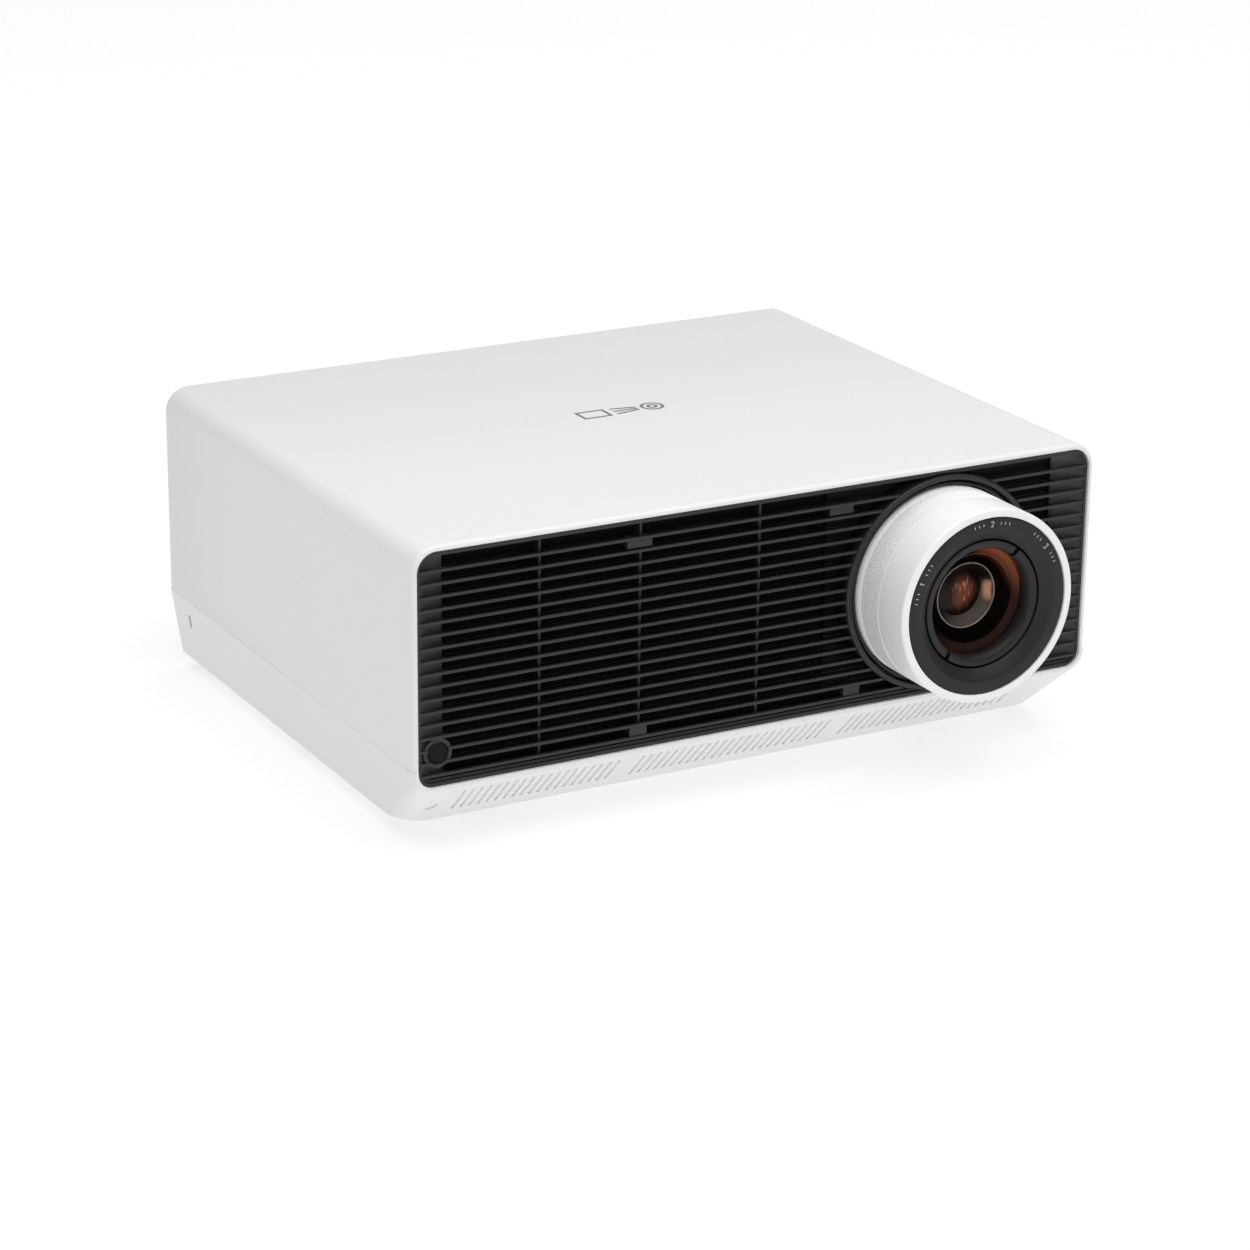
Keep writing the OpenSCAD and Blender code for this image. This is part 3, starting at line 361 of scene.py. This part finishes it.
lens_u, line_w, ink_low, ink_high = -17 * mm, 1.7 * mm, roof - 0.06 * mm, roof - 0.01 * mm
screen = np.array([[9, -5.2], [23.5, -5.2], [23.5, 5.2], [9, 5.2]]) * mm
rays = [np.array([[-8.5, a], [5, b]]) * mm for a, b in ((2.2, 4.4), (0, 0), (-2.2, -4.4))]
symbol = [(circle(lens_u, 0, 5.4 * mm), True), (circle(lens_u, 0, 2.2 * mm), True), (screen, True)]
symbol += [(ray, False) for ray in rays]
printed = moulded("grey_ink", (0.2, 0.2, 0.21), 0.5, drift=0.08)
films = ink(symbol, line_w, ink_low, ink_high, on_top)
mark = skin("printed_mark", films, printed, wrap=(False, True), caps=True)
stands_for(mark, "case", "grille_black")


# ---------------------------------------------------------------- front grille
# The whole front is one black ABS louvre grille set just behind the rim. A round collar frames the
# lens, black foam lies behind the louvres, and a small smoked window at the left passes the remote's
# light. The slanting webs at both ends are painted a paler grey the deeper they lie: painted light
# in place of the shade that falls in their recesses.
dark = (0.028, 0.028, 0.03)
grille_black = moulded("grille_abs", dark, 0.46, 0.3 * mm, drift=0.15, Specular_IOR_Level=0.35)
grille_lo, grille_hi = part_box("front_grille")
x, y, z = grille_black.axes()
web_in, web_out, web_near, web_far = 17.5 * mm, 16 * mm, 0.8 * mm, 8.5 * mm
left_web = grille_black.ramp(x - grille_lo.x, web_in, web_out)
right_web = grille_black.ramp(grille_hi.x - x, web_in, web_out)
# Painted light: the deep parts of the end webs, which lie in the louvres' shade, are made paler grey.
painted_web_light = (left_web + right_web) * grille_black.ramp(y - grille_lo.y, web_near, web_far)
grille_black.put("Base Color", grille_black.blend(painted_web_light, dark, (0.16, 0.16, 0.165)))
stands_for(softened("front_grille", grille_black, 0.12 * mm), "case", "grille_black", "front_grille")

ring_lo, ring_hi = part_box("focus_ring")
axis = Vector(((ring_lo.x + ring_hi.x) / 2, 0, (ring_lo.z + ring_hi.z) / 2))


def eased(outline, radius, steps=4, closed=True):
    """An outline whose corners are rounded: each corner p between a and c becomes the quadratic
    (1-t)^2 a + 2t(1-t) p + t^2 c, with a and c at most radius away along its two sides."""
    p = np.asarray(outline, float)
    t = np.linspace(0, 1, steps)[None, :, None]
    ends = []
    for step in (1, -1):
        side = np.roll(p, step, 0) - p
        length = np.linalg.norm(side, axis=1, keepdims=True)
        ends.append((p + side / length * np.minimum(radius, length * 0.45))[:, None])
    curve = ((1 - t) ** 2 * ends[0] + 2 * t * (1 - t) * p[:, None] + t**2 * ends[1]).reshape(-1, 2)
    return curve if closed else np.concatenate([p[:1], curve[steps:-steps], p[-1:]])


def turned(outline, centre=axis, angles=192, cut=None):
    """An outline of (radius, distance behind the case's front rim), turned once round an axis along y.

    angles is how many steps the turn has, or the angles themselves. cut gives what is taken from the
    radius and added to the distance at each (outline point, angle)."""
    outline = np.asarray(outline, float)
    angle = np.arange(angles) * 2 * np.pi / angles if isinstance(angles, int) else angles
    inwards, backwards = cut(outline, angle) if cut else (0, 0)
    radius = np.repeat(outline[:, :1], len(angle), 1) - inwards
    y = rim + np.repeat(outline[:, 1:], len(angle), 1) + backwards
    return np.stack([centre.x + radius * np.cos(angle), y, centre.z + radius * np.sin(angle)], -1)


collar_lo, collar_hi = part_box("lens_collar")
collar_r, front, back = collar_hi.x - axis.x, collar_lo.y - rim, collar_hi.y - rim
hole_r = collar_r - 5.5 * mm
collar = [(collar_r - 2.6 * mm, front), (collar_r - 0.8 * mm, front), (collar_r, front + 0.8 * mm),
    (collar_r, back), (hole_r, back), (hole_r, front + 2 * mm), (collar_r - 4.2 * mm, front + 2 * mm),
    (collar_r - 3.9 * mm, front + 6 * mm), (collar_r - 3 * mm, front + 6 * mm)]
collar_black = moulded("collar_abs", (0.024, 0.024, 0.026), 0.42, drift=0.1, Specular_IOR_Level=0.35)
collar_ring = skin("lens_collar_ring", turned(eased(collar, 0.3 * mm)), collar_black, wrap=(True, True))
stands_for(collar_ring, "case", "collar_black", "lens_collar")

window_lo, window_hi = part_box("ir_window")
eye = (window_lo + window_hi) / 2
r, front, back = (window_hi.x - window_lo.x) / 2, window_lo.y - rim, window_hi.y - rim
lens = [(0, back), (r, back), (r, front + 0.3 * mm), (r - 0.3 * mm, front), (r - 0.7 * mm, front),
    (r - 0.9 * mm, front + 0.35 * mm), (r * 0.5, front + 0.12 * mm), (0, front + 0.05 * mm)]
smoked = moulded(
    "smoked_acrylic", (0.006, 0.005, 0.0055), 0.22, depth=0.002 * mm, Specular_IOR_Level=0.12)
window = skin("remote_window", turned(lens, eye, 64), smoked, wrap=(False, True))
stands_for(window, "case", "window_plastic", "ir_window")


def dress(finish, *nodes):
    """Gives a finish to CAD nodes whose shape stands as it is."""
    for node in nodes:
        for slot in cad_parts[node].material_slots:
            slot.material = finish.material


foam = Finish("filter_foam", Roughness=0.95)
pores = foam.cells(1.2 * mm)
foam.put("Base Color", foam.blend(pores, (0.002, 0.002, 0.002), (0.006, 0.006, 0.006)))
foam.relief(pores, 0.5 * mm)
dress(foam, "dust_filter")
dress(moulded("shroud_abs", (0.012, 0.012, 0.012), 0.7), "lens_shroud")


# ---------------------------------------------------------------- zoom and focus rings
# Both rings are moulded in the white of the case, but their material is painted a lighter white than
# the case's: painted light for the barrel, which the black grille beside it keeps in shade. The zoom
# ring, at the back, is knurled with fine short ridges; the focus ring in front of it is plain with a
# rounded front lip.
ring_r = ring_hi.x - axis.x
bore_r = ring_r - 4 * mm


def knurl(outline, angle):
    """Ridges along the axis, a triangle wave round the ring, cut across by narrow bands."""
    ridges, band, deep = 320, 1.9 * mm, 0.45 * mm
    first, last = -16.0 * mm, -1.0 * mm
    wave = np.clip(np.abs((angle * ridges / (2 * np.pi)) % 1 - 0.5) * 3, 0, 1)
    y = outline[:, 1]
    along = np.clip(np.abs(((y - first) / band) % 1 - 0.5) * 3.2, 0, 1)
    on_face = (y > first) & (y < last) & (outline[:, 0] > ring_r - 0.05 * mm)
    return deep * on_face[:, None] * (1 - (1 - wave[None, :]) * along[:, None]), 0


zoom_lo, zoom_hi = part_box("zoom_ring")
front, back = zoom_lo.y - rim, zoom_hi.y - rim
rows = 64
face = np.linspace(-16.2 * mm, -0.8 * mm, rows)
grip = np.concatenate([
    [[bore_r, back], [bore_r, front], [ring_r - 0.4 * mm, front], [ring_r - 0.1 * mm, front + 0.15 * mm]],
    np.stack([np.full(rows, ring_r), face], -1), [[ring_r, back]]])
# Painted light: this white is lighter than the case's, standing in for light the black grille keeps off the
# rings.
ring_white = moulded("ring_abs_painted_lighter", (0.93, 0.932, 0.937), 0.4, Specular_IOR_Level=0.45)
knurled = turned(grip, angles=1280, cut=knurl)
zoom = skin("zoom_ring_knurled", knurled, ring_white, wrap=(True, True), sharp=60)
stands_for(zoom, "zoom_ring", "ring_white", "zoom_ring")

front, back = ring_lo.y - rim, ring_hi.y - rim
lip = [(bore_r, back), (ring_r - 0.4 * mm, back), (ring_r, back - 0.4 * mm), (ring_r, front + 1.2 * mm),
    (ring_r - 0.35 * mm, front + 0.35 * mm), (ring_r - 1.2 * mm, front), (bore_r + 0.4 * mm, front),
    (bore_r, front + 0.4 * mm)]
focus = skin("focus_ring_plain", turned(eased(lip, 0.4 * mm), angles=256), ring_white, wrap=(True, True))
stands_for(focus, "focus_ring", "ring_white", "focus_ring")


# ---------------------------------------------------------------- lens front
# Inside the white rings sits the black front of the lens: a dished ring printed with a white scale, and
# the focus cell, an anodised ring with two spanner notches that holds the front glass.
dish_lo, dish_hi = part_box("lens_front_ring")
dish_r, front, back = dish_hi.x - axis.x, dish_lo.y - rim, dish_hi.y - rim
seat_r, flat_r = 32.4 * mm, dish_r - 6.1 * mm
dished = [(seat_r, back), (seat_r, front + 4.2 * mm), (flat_r, front + 0.1 * mm),
    (dish_r - 0.4 * mm, front), (dish_r, front + 0.4 * mm), (dish_r, back)]
lens_black = moulded(
    "lens_black", (0.013, 0.013, 0.0145), 0.42, 0.2 * mm, drift=0.1, Specular_IOR_Level=0.32)
dish = skin("lens_dish", turned(eased(dished, 0.25 * mm), angles=256), lens_black, wrap=(True, True))
stands_for(dish, "case", "lens_black", "lens_front_ring")

scale_r, scale_y = dish_r - 3.1 * mm, rim + front - 0.01 * mm


def on_dish(u, v, h):
    """Places a drawing on the ring: u runs round the scale's circle from the top, v outwards from it."""
    r, turn = scale_r + v, u / scale_r
    return np.stack([axis.x + r * np.sin(turn), scale_y - h, axis.z + r * np.cos(turn)], -1)


def bent(path, steps=6):
    """A path of (angle, height) as one of (arc, height), with each line cut in steps so that it can bend."""
    t = np.linspace(0, 1, steps)[:, None]
    points = np.concatenate([a + (b - a) * t for a, b in zip(path, path[1:])])
    moved = np.any(np.diff(points, axis=0) != 0, 1)
    return points[np.concatenate([[True], moved])] * (scale_r, 1), False


def digit(shape, turn):
    """A numeral 2.6 mm tall, as one stroke, centred at an angle round the ring."""
    wide = 0.75 * mm / scale_r
    return np.array([[turn + x * wide, y * 1.3 * mm] for x, y in shape])


one = [(-0.7, 0.5), (0.2, 1), (0.2, -1)]
two = [(-0.9, 0.6), (-0.5, 1), (0.5, 1), (0.9, 0.55), (0.8, 0.1), (-0.9, -1), (1, -1)]
three = [(-0.9, 1), (0.9, 1), (0, 0.2), (0.8, -0.1), (0.9, -0.6), (0.4, -1), (-0.4, -1), (-0.9, -0.7)]
tick_gap, tick_low, tick_high = 0.06, -0.5 * mm, 0.9 * mm
strokes = []
for middle, numeral in ((-1.15, one), (0.02, two), (0.9, three)):
    turns = [middle + k * tick_gap for k in (-4, -3, -2, 2, 3, 4)]
    strokes += [bent(np.array([[turn, tick_low], [turn, tick_high]])) for turn in turns]
    strokes.append(bent(digit(numeral, middle)))
white_ink = moulded("white_ink", (0.62, 0.62, 0.62), 0.5, drift=0.06)
films = ink(strokes, 0.32 * mm, 0, 0.02 * mm, on_dish)
scale = skin("lens_scale", films, white_ink, wrap=(False, True), caps=True)
stands_for(scale, "case", "ring_white")

cell_lo, cell_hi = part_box("focus_cell")
cell_r, front, back = cell_hi.x - axis.x, cell_lo.y - rim, cell_hi.y - rim
glass_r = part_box("front_lens")[1].x - axis.x
slot_w, slot_at = 2.4 * mm, 52


def notches(outline, angle):
    """Two narrow slots across the face, at the upper right and the lower left: a point of the face whose
    distance from the line through both is under half the slot's width is set back."""
    slot_deep, tilt = 3.4 * mm, math.radians(slot_at)
    across = np.abs(np.sin(angle - tilt)) * cell_r < slot_w / 2
    on_face = outline[:, 1] < front + 1.4 * mm
    return 0, slot_deep * on_face[:, None] * across[None, :]


half, hair = math.asin(slot_w / 2 / cell_r), 1e-3
sides = [math.radians(slot_at + a) + s * half for a in (0, 180) for s in (-1, 1)]
lips = [side + e for side in sides for e in (-hair, hair)]
steps = np.sort(np.concatenate([np.arange(256) * 2 * np.pi / 256, lips]))
tube_r = 17 * mm
holder = [(tube_r, back), (cell_r, back), (cell_r, front + 0.3 * mm), (cell_r - 0.3 * mm, front),
    (glass_r + 1.6 * mm, front + 0.6 * mm), (glass_r + 1.2 * mm, front + 0.9 * mm),
    (glass_r + 0.15 * mm, front + 3 * mm), (glass_r + 0.1 * mm, front + 8 * mm), (tube_r, front + 15 * mm)]
notched = turned(eased(holder, 0.12 * mm, 2), angles=steps, cut=notches)
cell = skin("focus_cell_ring", notched, lens_black, wrap=(True, True))
stands_for(cell, "focus_group", "lens_black", "focus_cell")


# ---------------------------------------------------------------- front glass
# The front element is a coated meniscus. Behind it a blackened funnel leads to the bright edge of the
# inner tube, and deep inside sits a domed glass. Their colours carry painted light: a warm painted
# reflection on the funnel, a painted lit side and gleam in the tube's throat, and painted amber
# reflections and streaks on the domed glass.


def pane(name, tint, shine, roughness=0.02):
    """Coated glass: what lies behind shows through, and a share is mirrored that rises smoothly from
    shine to 1 as 1 - cos goes from 0.35 to 1, where cos is the cosine of the angle it is seen at."""
    finish = Finish(name, Base_Color=(*tint, 1), Roughness=roughness, Metallic=1.0)
    clear = finish.node("BsdfTransparent", {}, {"Color": (0.97, 0.93, 0.9, 1)})
    slant = finish.node("LayerWeight", {}, {"Blend": 0.5}, out="Facing")
    share = finish.ramp(slant, 0.35, 1.0, shine, 1.0)
    mixed = finish.node("MixShader", {}, {0: share, 1: clear, 2: Wire(finish, finish.shader.outputs[0])})
    finish.tree.links.new(mixed.socket, finish.tree.nodes["Material Output"].inputs["Surface"])
    return finish


def meniscus(front_y, back_y, radius, bulge, hollow, rows=14):
    """Outline of a round glass: two shallow arcs, each y = edge + depth (r/R)^2, joined at the edge."""
    r = np.linspace(0, radius, rows)
    face = np.stack([r, front_y - bulge * (1 - (r / radius) ** 2)], -1)
    rear = np.stack([r[::-1], back_y - hollow * (1 - (r[::-1] / radius) ** 2)], -1)
    return np.concatenate([face, rear])


near, far = (corner.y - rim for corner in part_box("front_lens"))
coated = pane("coated_glass", (0.95, 0.62, 0.45), 0.0)
element = meniscus(near + 2.7 * mm, far - 0.1 * mm, glass_r - 0.1 * mm, 2.6 * mm, 1.3 * mm)
glass = skin("front_glass_element", turned(element), coated, wrap=(False, True), sharp=50)
stands_for(glass, "focus_group", "front_glass", "front_lens")


def polar(finish, reach):
    """East, north and the distance from the lens axis, each as a share of reach."""
    x, y, z = finish.axes()
    east, north = (x - axis.x) / reach, (z - axis.z) / reach
    return east, north, finish.node("Math", {"operation": "SQRT"}, {0: east * east + north * north})


# Painted reflection: the funnel is painted near black as shade, with reflections of the light painted into
# its colour.
funnel = Finish("funnel_painted_reflection", Roughness=0.6, Specular_IOR_Level=0.03)
east, north, radial = polar(funnel, glass_r)
band = funnel.ramp(radial, 0.83, 0.86)
painted_crescent = funnel.ramp(east * 0.68 + north * 0.73, 0.5, 1.03)
low = funnel.ramp(north * -0.8 + east * 0.45, -0.1, 0.6)
# Painted reflection: a brown band round the lower part of the funnel.
painted_brown_band = funnel.blend(band * low, (0.002, 0.0015, 0.0015), (0.045, 0.028, 0.024))
# Painted highlight: a pale line round the upper part of the funnel.
line = funnel.ramp(radial, 0.815, 0.83) * funnel.ramp(radial, 0.85, 0.835) * funnel.ramp(north, 0.1, 0.6)
# Painted reflection: a warm amber crescent at the upper right of the funnel.
painted_warm_light = funnel.blend(funnel.ramp(radial, 0.72, 0.95) * painted_crescent, painted_brown_band, (0.38, 0.135, 0.07))
funnel.put("Base Color", funnel.blend(line * 0.5, painted_warm_light, (0.3, 0.2, 0.17)))
funnel_y, funnel_end, band_r = front + 8 * mm, front + 14.9 * mm, 22.4 * mm
cone = [(glass_r, funnel_y + 0.1 * mm), (band_r, funnel_y + 1.4 * mm), (tube_r + 0.1 * mm, funnel_end),
    (tube_r, funnel_end - 0.1 * mm), (band_r - 0.1 * mm, funnel_y + 1.3 * mm), (glass_r, funnel_y)]
stands_for(skin("funnel", turned(cone), funnel, wrap=(True, True)), "focus_group", "lens_black")

tube_y, edge_out, edge_in, throat_r, ease = front + 14 * mm, 16.5 * mm, 15.95 * mm, 12 * mm, 0.15 * mm
edge = [(edge_out, tube_y + 3 * mm), (edge_out, tube_y + ease), (edge_out - ease, tube_y),
    (edge_in + ease, tube_y), (edge_in, tube_y + ease), (edge_in, tube_y + 3 * mm)]
silver = moulded("turned_edge", (0.4, 0.4, 0.4), 0.3, Metallic=0.6)
stands_for(skin("tube_edge", turned(edge), silver, wrap=(True, True)), "focus_group", "lens_black")
throat = [(edge_in, tube_y + 0.6 * mm), (throat_r, tube_y + 6 * mm), (throat_r, tube_y + 7 * mm),
    (edge_in, tube_y + 7 * mm)]
# Painted light: the throat is painted lighter on its lower right and near black elsewhere, with a painted
# warm highlight on its right wall.
greyed = Finish("throat_painted_light", Roughness=0.4, Specular_IOR_Level=0.2)
east, north, radial = polar(greyed, tube_r)
lit = greyed.ramp(east * 0.5 - north * 0.85, -0.1, 0.8)
gleam = greyed.ramp(east, 0.7, 0.8) * greyed.ramp(east, 0.93, 0.86) * greyed.ramp(north * north, 0.13, 0.0)
shade = greyed.blend(lit, (0.006, 0.005, 0.005), (0.14, 0.137, 0.14))
greyed.put("Base Color", greyed.blend(gleam, shade, (0.85, 0.5, 0.33)))
inner = skin("tube_throat", turned(eased(throat, 0.3 * mm)), greyed, wrap=(True, True))
stands_for(inner, "focus_group", "lens_black")

# Painted reflection: the domed glass is painted with an amber glow in its middle, fading towards the left
# and the edge, and bright streaks in it; the rest is near black.
amber = Finish("amber_painted_reflection", Roughness=0.2, Specular_IOR_Level=0.2)
east, north, radial = polar(amber, tube_r)
painted_streaks = amber.ramp(amber.grain(2.6 * mm, 2, amber.stretched(1.6, 1, 0.35)), 0.52, 0.72)
painted_warm_light = amber.ramp(radial, 0.6, 0.2) * amber.ramp(east, -0.4, -0.05)
base = amber.blend(painted_warm_light, (0.006, 0.004, 0.004), (0.17, 0.055, 0.028))
amber.put("Base Color", amber.blend(painted_streaks * painted_warm_light, base, (0.8, 0.36, 0.2)))
dome = meniscus(tube_y + 6.2 * mm, tube_y + 7.4 * mm, throat_r + 0.2 * mm, 2.4 * mm, 0)
deep = skin("inner_glass", turned(dome), amber, wrap=(False, True), sharp=50)
stands_for(deep, "focus_group", "clear_glass")


# ---------------------------------------------------------------- lens train
# The barrel and cells behind the front are turned aluminium, blackened; the glasses are clear with a
# faint green coating.
dress(lens_black, "lens_barrel", "zoom_cell", "aperture_stop")
dress(pane("clear_glass", (0.7, 0.85, 0.8), 0.04), "zoom_lens", "rear_lens", "relay_lens")


# ---------------------------------------------------------------- rear panel and sockets
# The back is a black ABS panel with air slots. The power inlet, the signal sockets and a small joystick
# stand in it, with nickel-plated steel shells round black inserts.
panel_black = moulded("panel_abs", (0.04, 0.04, 0.042), 0.5, grain=0.4 * mm, drift=0.12)
stands_for(softened("rear_panel", panel_black, 0.15 * mm), "case", "panel_black", "rear_panel")


def metal(name, colour, roughness, size, stretch=(1, 1, 1), depth=0.004 * mm):
    """Metal with fine marks in its roughness and relief, drawn out along the axis of least stretch."""
    finish = Finish(name, Metallic=1.0)
    marks = finish.grain(size, 4, finish.stretched(*stretch))
    tarnish = finish.grain(25 * mm, 3)
    finish.put("Base Color", finish.blend(tarnish, tuple(c * 0.85 for c in colour), colour))
    finish.put("Roughness", roughness - 0.1 + 0.2 * marks)
    finish.relief(marks, depth)
    return finish


socket_black = moulded("socket_pbt", (0.03, 0.03, 0.031), 0.38)
nickel = metal("nickel_plate", (0.55, 0.55, 0.54), 0.3, 0.5 * mm, (1, 0.1, 1))
stands_for(softened("power_inlet", socket_black, 0.2 * mm), "case", "socket_black", "power_inlet")
for node in ("hdmi_ports", "usb_ports", "lan_port"):
    stands_for(softened(node, nickel, 0.08 * mm), "case", "socket_steel", node)
stands_for(softened("audio_jack", socket_black, 0.1 * mm), "case", "socket_black", "audio_jack")
steel = metal("lock_steel", (0.5, 0.5, 0.5), 0.35, 0.4 * mm)
stands_for(softened("lock_plate", steel, 0.1 * mm), "case", "lock_steel", "lock_plate")

stands_for(softened("joystick_bezel", panel_black, 0.2 * mm), "case", "panel_black", "joystick_bezel")
nylon = moulded("white_nylon", (0.6, 0.6, 0.57), 0.45)
dress(nylon, "joystick_gimbal")
dress(moulded("grey_acetal", (0.08, 0.08, 0.085), 0.4), "joystick_stem")
cap_lo, cap_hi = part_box("joystick_cap")
thumb = [(0, 10.6), (2.3, 10.6), (2.3, 4), (4.2, 4), (4.2, 10.5), (7.2, 10.5), (8, 11.2), (8, 14.6),
    (7, 16), (5, 16.8), (3, 16.4), (1.5, 16.25), (0, 16.2)]
thumb = np.array(thumb) * mm + (0, cap_lo.y - rim - 4 * mm)
button_black = moulded("button_rubber", (0.03, 0.03, 0.03), 0.6, grain=0.3 * mm)
button = turned(eased(thumb, 0.5 * mm, closed=False), (cap_lo + cap_hi) / 2, 96)
cap = skin("joystick_thumb", button, button_black, wrap=(False, True))
stands_for(cap, "stick_cap", "button_black", "joystick_cap")


# ---------------------------------------------------------------- feet and fixings
# Two rubber-soled screw feet at the front level the case, and two plain rubber feet stand at the back.
# Brass nuts and inserts are set in the tray, and black oxide screws close it.
rubber = moulded("black_rubber", (0.022, 0.022, 0.022), 0.75, grain=0.8 * mm, depth=0.03 * mm, drift=0.2)
stands_for(softened("rear_feet", rubber, 0.5 * mm), "case", "foot_rubber", "rear_feet")
stands_for(softened("left_foot_pad", rubber, 0.4 * mm), "left_pad", "foot_rubber", "left_foot_pad")
stands_for(softened("right_foot_pad", rubber, 0.4 * mm), "right_pad", "foot_rubber", "right_foot_pad")
black_oxide = metal("black_oxide", (0.06, 0.06, 0.062), 0.4, 0.6 * mm)
left = softened("left_foot_screw", black_oxide, 0.25 * mm)
stands_for(left, "left_screw", "screw_black", "left_foot_screw")
right = softened("right_foot_screw", black_oxide, 0.25 * mm)
stands_for(right, "right_screw", "screw_black", "right_foot_screw")
stands_for(softened("case_screws", black_oxide, 0.1 * mm), "case", "screw_black", "case_screws")
brass = metal("brass", (0.78, 0.57, 0.25), 0.3, 0.4 * mm)
stands_for(softened("mount_inserts", brass, 0.1 * mm), "case", "insert_brass", "mount_inserts")
dress(brass, "foot_nuts")


# ---------------------------------------------------------------- light engine
# A die-cast magnesium box holds the prism and the mirror chip behind the lens. Blue lasers on a copper
# base light a phosphor disc that a small motor spins, and finned aluminium sinks carry the heat away.
cast = Finish("die_casting", Metallic=0.85)
skin_marks = cast.grain(3 * mm, 5)
cast.put("Base Color", cast.blend(skin_marks, (0.33, 0.33, 0.34), (0.5, 0.5, 0.51)))
cast.put("Roughness", 0.42 + 0.2 * skin_marks)
cast.relief(skin_marks, 0.08 * mm)
dress(cast, "engine_housing", "engine_lid", "collimator_tube")
dress(pane("prism_glass", (0.8, 0.85, 0.9), 0.04), "prism")
dress(metal("mirror_chip", (0.75, 0.78, 0.85), 0.12, 1 * mm, depth=0), "mirror_chip")
alloy = metal("extruded_alloy", (0.72, 0.73, 0.74), 0.35, 0.5 * mm, (1, 1, 0.05))
dress(alloy, "mirror_heatsink", "laser_heatsink")
dress(metal("copper_base", (0.8, 0.42, 0.28), 0.3, 0.5 * mm), "laser_module")
dress(metal("motor_steel", (0.55, 0.55, 0.56), 0.28, 0.4 * mm, (0.1, 1, 1)), "wheel_motor")
wheel = Finish("phosphor_disc", Roughness=0.55)
x, y, z = wheel.axes()
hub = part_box("phosphor_wheel")
east, north = y - (hub[0].y + hub[1].y) / 2, z - (hub[0].z + hub[1].z) / 2
radial = wheel.node("Math", {"operation": "SQRT"}, {0: east * east + north * north})
track = wheel.ramp(radial, 17 * mm, 17.3 * mm) * wheel.ramp(radial, 23 * mm, 22.7 * mm)
powder = wheel.grain(0.3 * mm, 3)
wheel.put("Base Color", wheel.blend(track * (0.8 + 0.2 * powder), (0.6, 0.6, 0.61), (0.85, 0.75, 0.12)))
wheel.put("Metallic", 1 - track)
dress(wheel, "phosphor_wheel")


# ---------------------------------------------------------------- boards and wiring
# Green glass-epoxy boards carry the picture and brown paper-phenolic carries the power parts. Their
# solder mask shows the copper tracks as fine raised lines.


def board(name, mask, track):
    """Circuit board: fine tracks in two directions under the solder mask."""
    finish = Finish(name, Roughness=0.35, Coat_Weight=0.3)
    along = finish.grain(1.2 * mm, 1, finish.stretched(0.08, 1, 1))
    across = finish.grain(1.2 * mm, 1, finish.stretched(1, 0.08, 1))
    lines = finish.ramp(finish.node("Math", {"operation": "MAXIMUM"}, {0: along, 1: across}), 0.56, 0.6)
    finish.put("Base Color", finish.blend(lines, mask, track))
    finish.relief(lines, 0.03 * mm)
    return finish


dress(board("green_board", (0.01, 0.07, 0.03), (0.03, 0.16, 0.07)), "main_board", "mirror_board")
dress(board("brown_board", (0.16, 0.09, 0.03), (0.24, 0.14, 0.05)), "power_board")
chips = Finish("board_parts", Roughness=0.5)
kind = chips.cells(14 * mm, "Color")
chips.put("Base Color", chips.blend(chips.ramp(kind, 0.62, 0.64), (0.015, 0.015, 0.016), (0.12, 0.14, 0.2)))
chips.relief(chips.grain(0.4 * mm, 3), 0.03 * mm)
dress(chips, "main_board_parts", "power_board_parts")
ribbon = Finish("ribbon_film", Roughness=0.3)
x, y, z = ribbon.axes()
lanes = ribbon.node("Math", {"operation": "PINGPONG"}, {0: x, 1: 0.5 * mm}) / (0.5 * mm)
ribbon.put("Base Color", ribbon.blend(ribbon.ramp(lanes, 0.4, 0.6), (0.35, 0.13, 0.02), (0.6, 0.3, 0.08)))
dress(ribbon, "mirror_ribbon")
dress(moulded("brown_sheath", (0.14, 0.055, 0.02), 0.4, grain=1 * mm), "inlet_wires")


# ---------------------------------------------------------------- fans and speakers
# Two axial fans of glass-filled black plastic draw air through the grille. A speaker in a pressed
# frame with a paper cone sits behind each end of the rear panel.
fan_black = moulded("fan_pbt", (0.025, 0.025, 0.026), 0.45, grain=0.6 * mm, drift=0.2)
dress(fan_black, "fan_frames", "left_fan_rotor", "right_fan_rotor")
dress(moulded("speaker_abs", (0.04, 0.04, 0.042), 0.5), "speaker_frames")
paper = Finish("speaker_paper", Roughness=0.9)
fibre = paper.grain(0.8 * mm, 5)
paper.put("Base Color", paper.blend(fibre, (0.03, 0.03, 0.03), (0.07, 0.068, 0.065)))
paper.relief(fibre, 0.1 * mm)
dress(paper, "speaker_cones")


# ---------------------------------------------------------------- table
# A plain white table top under the feet, of opal glass that is lit a little from below.
table_white = moulded(
    "table_top", (0.42, 0.42, 0.42), 0.7, drift=0.01, Emission_Color=(1, 1, 1, 1), Emission_Strength=0.6)
reach = 4.0
corners = [[[-reach, y, 0], [reach, y, 0]] for y in (-reach, reach)]
table = skin("table", np.array(corners), table_white)
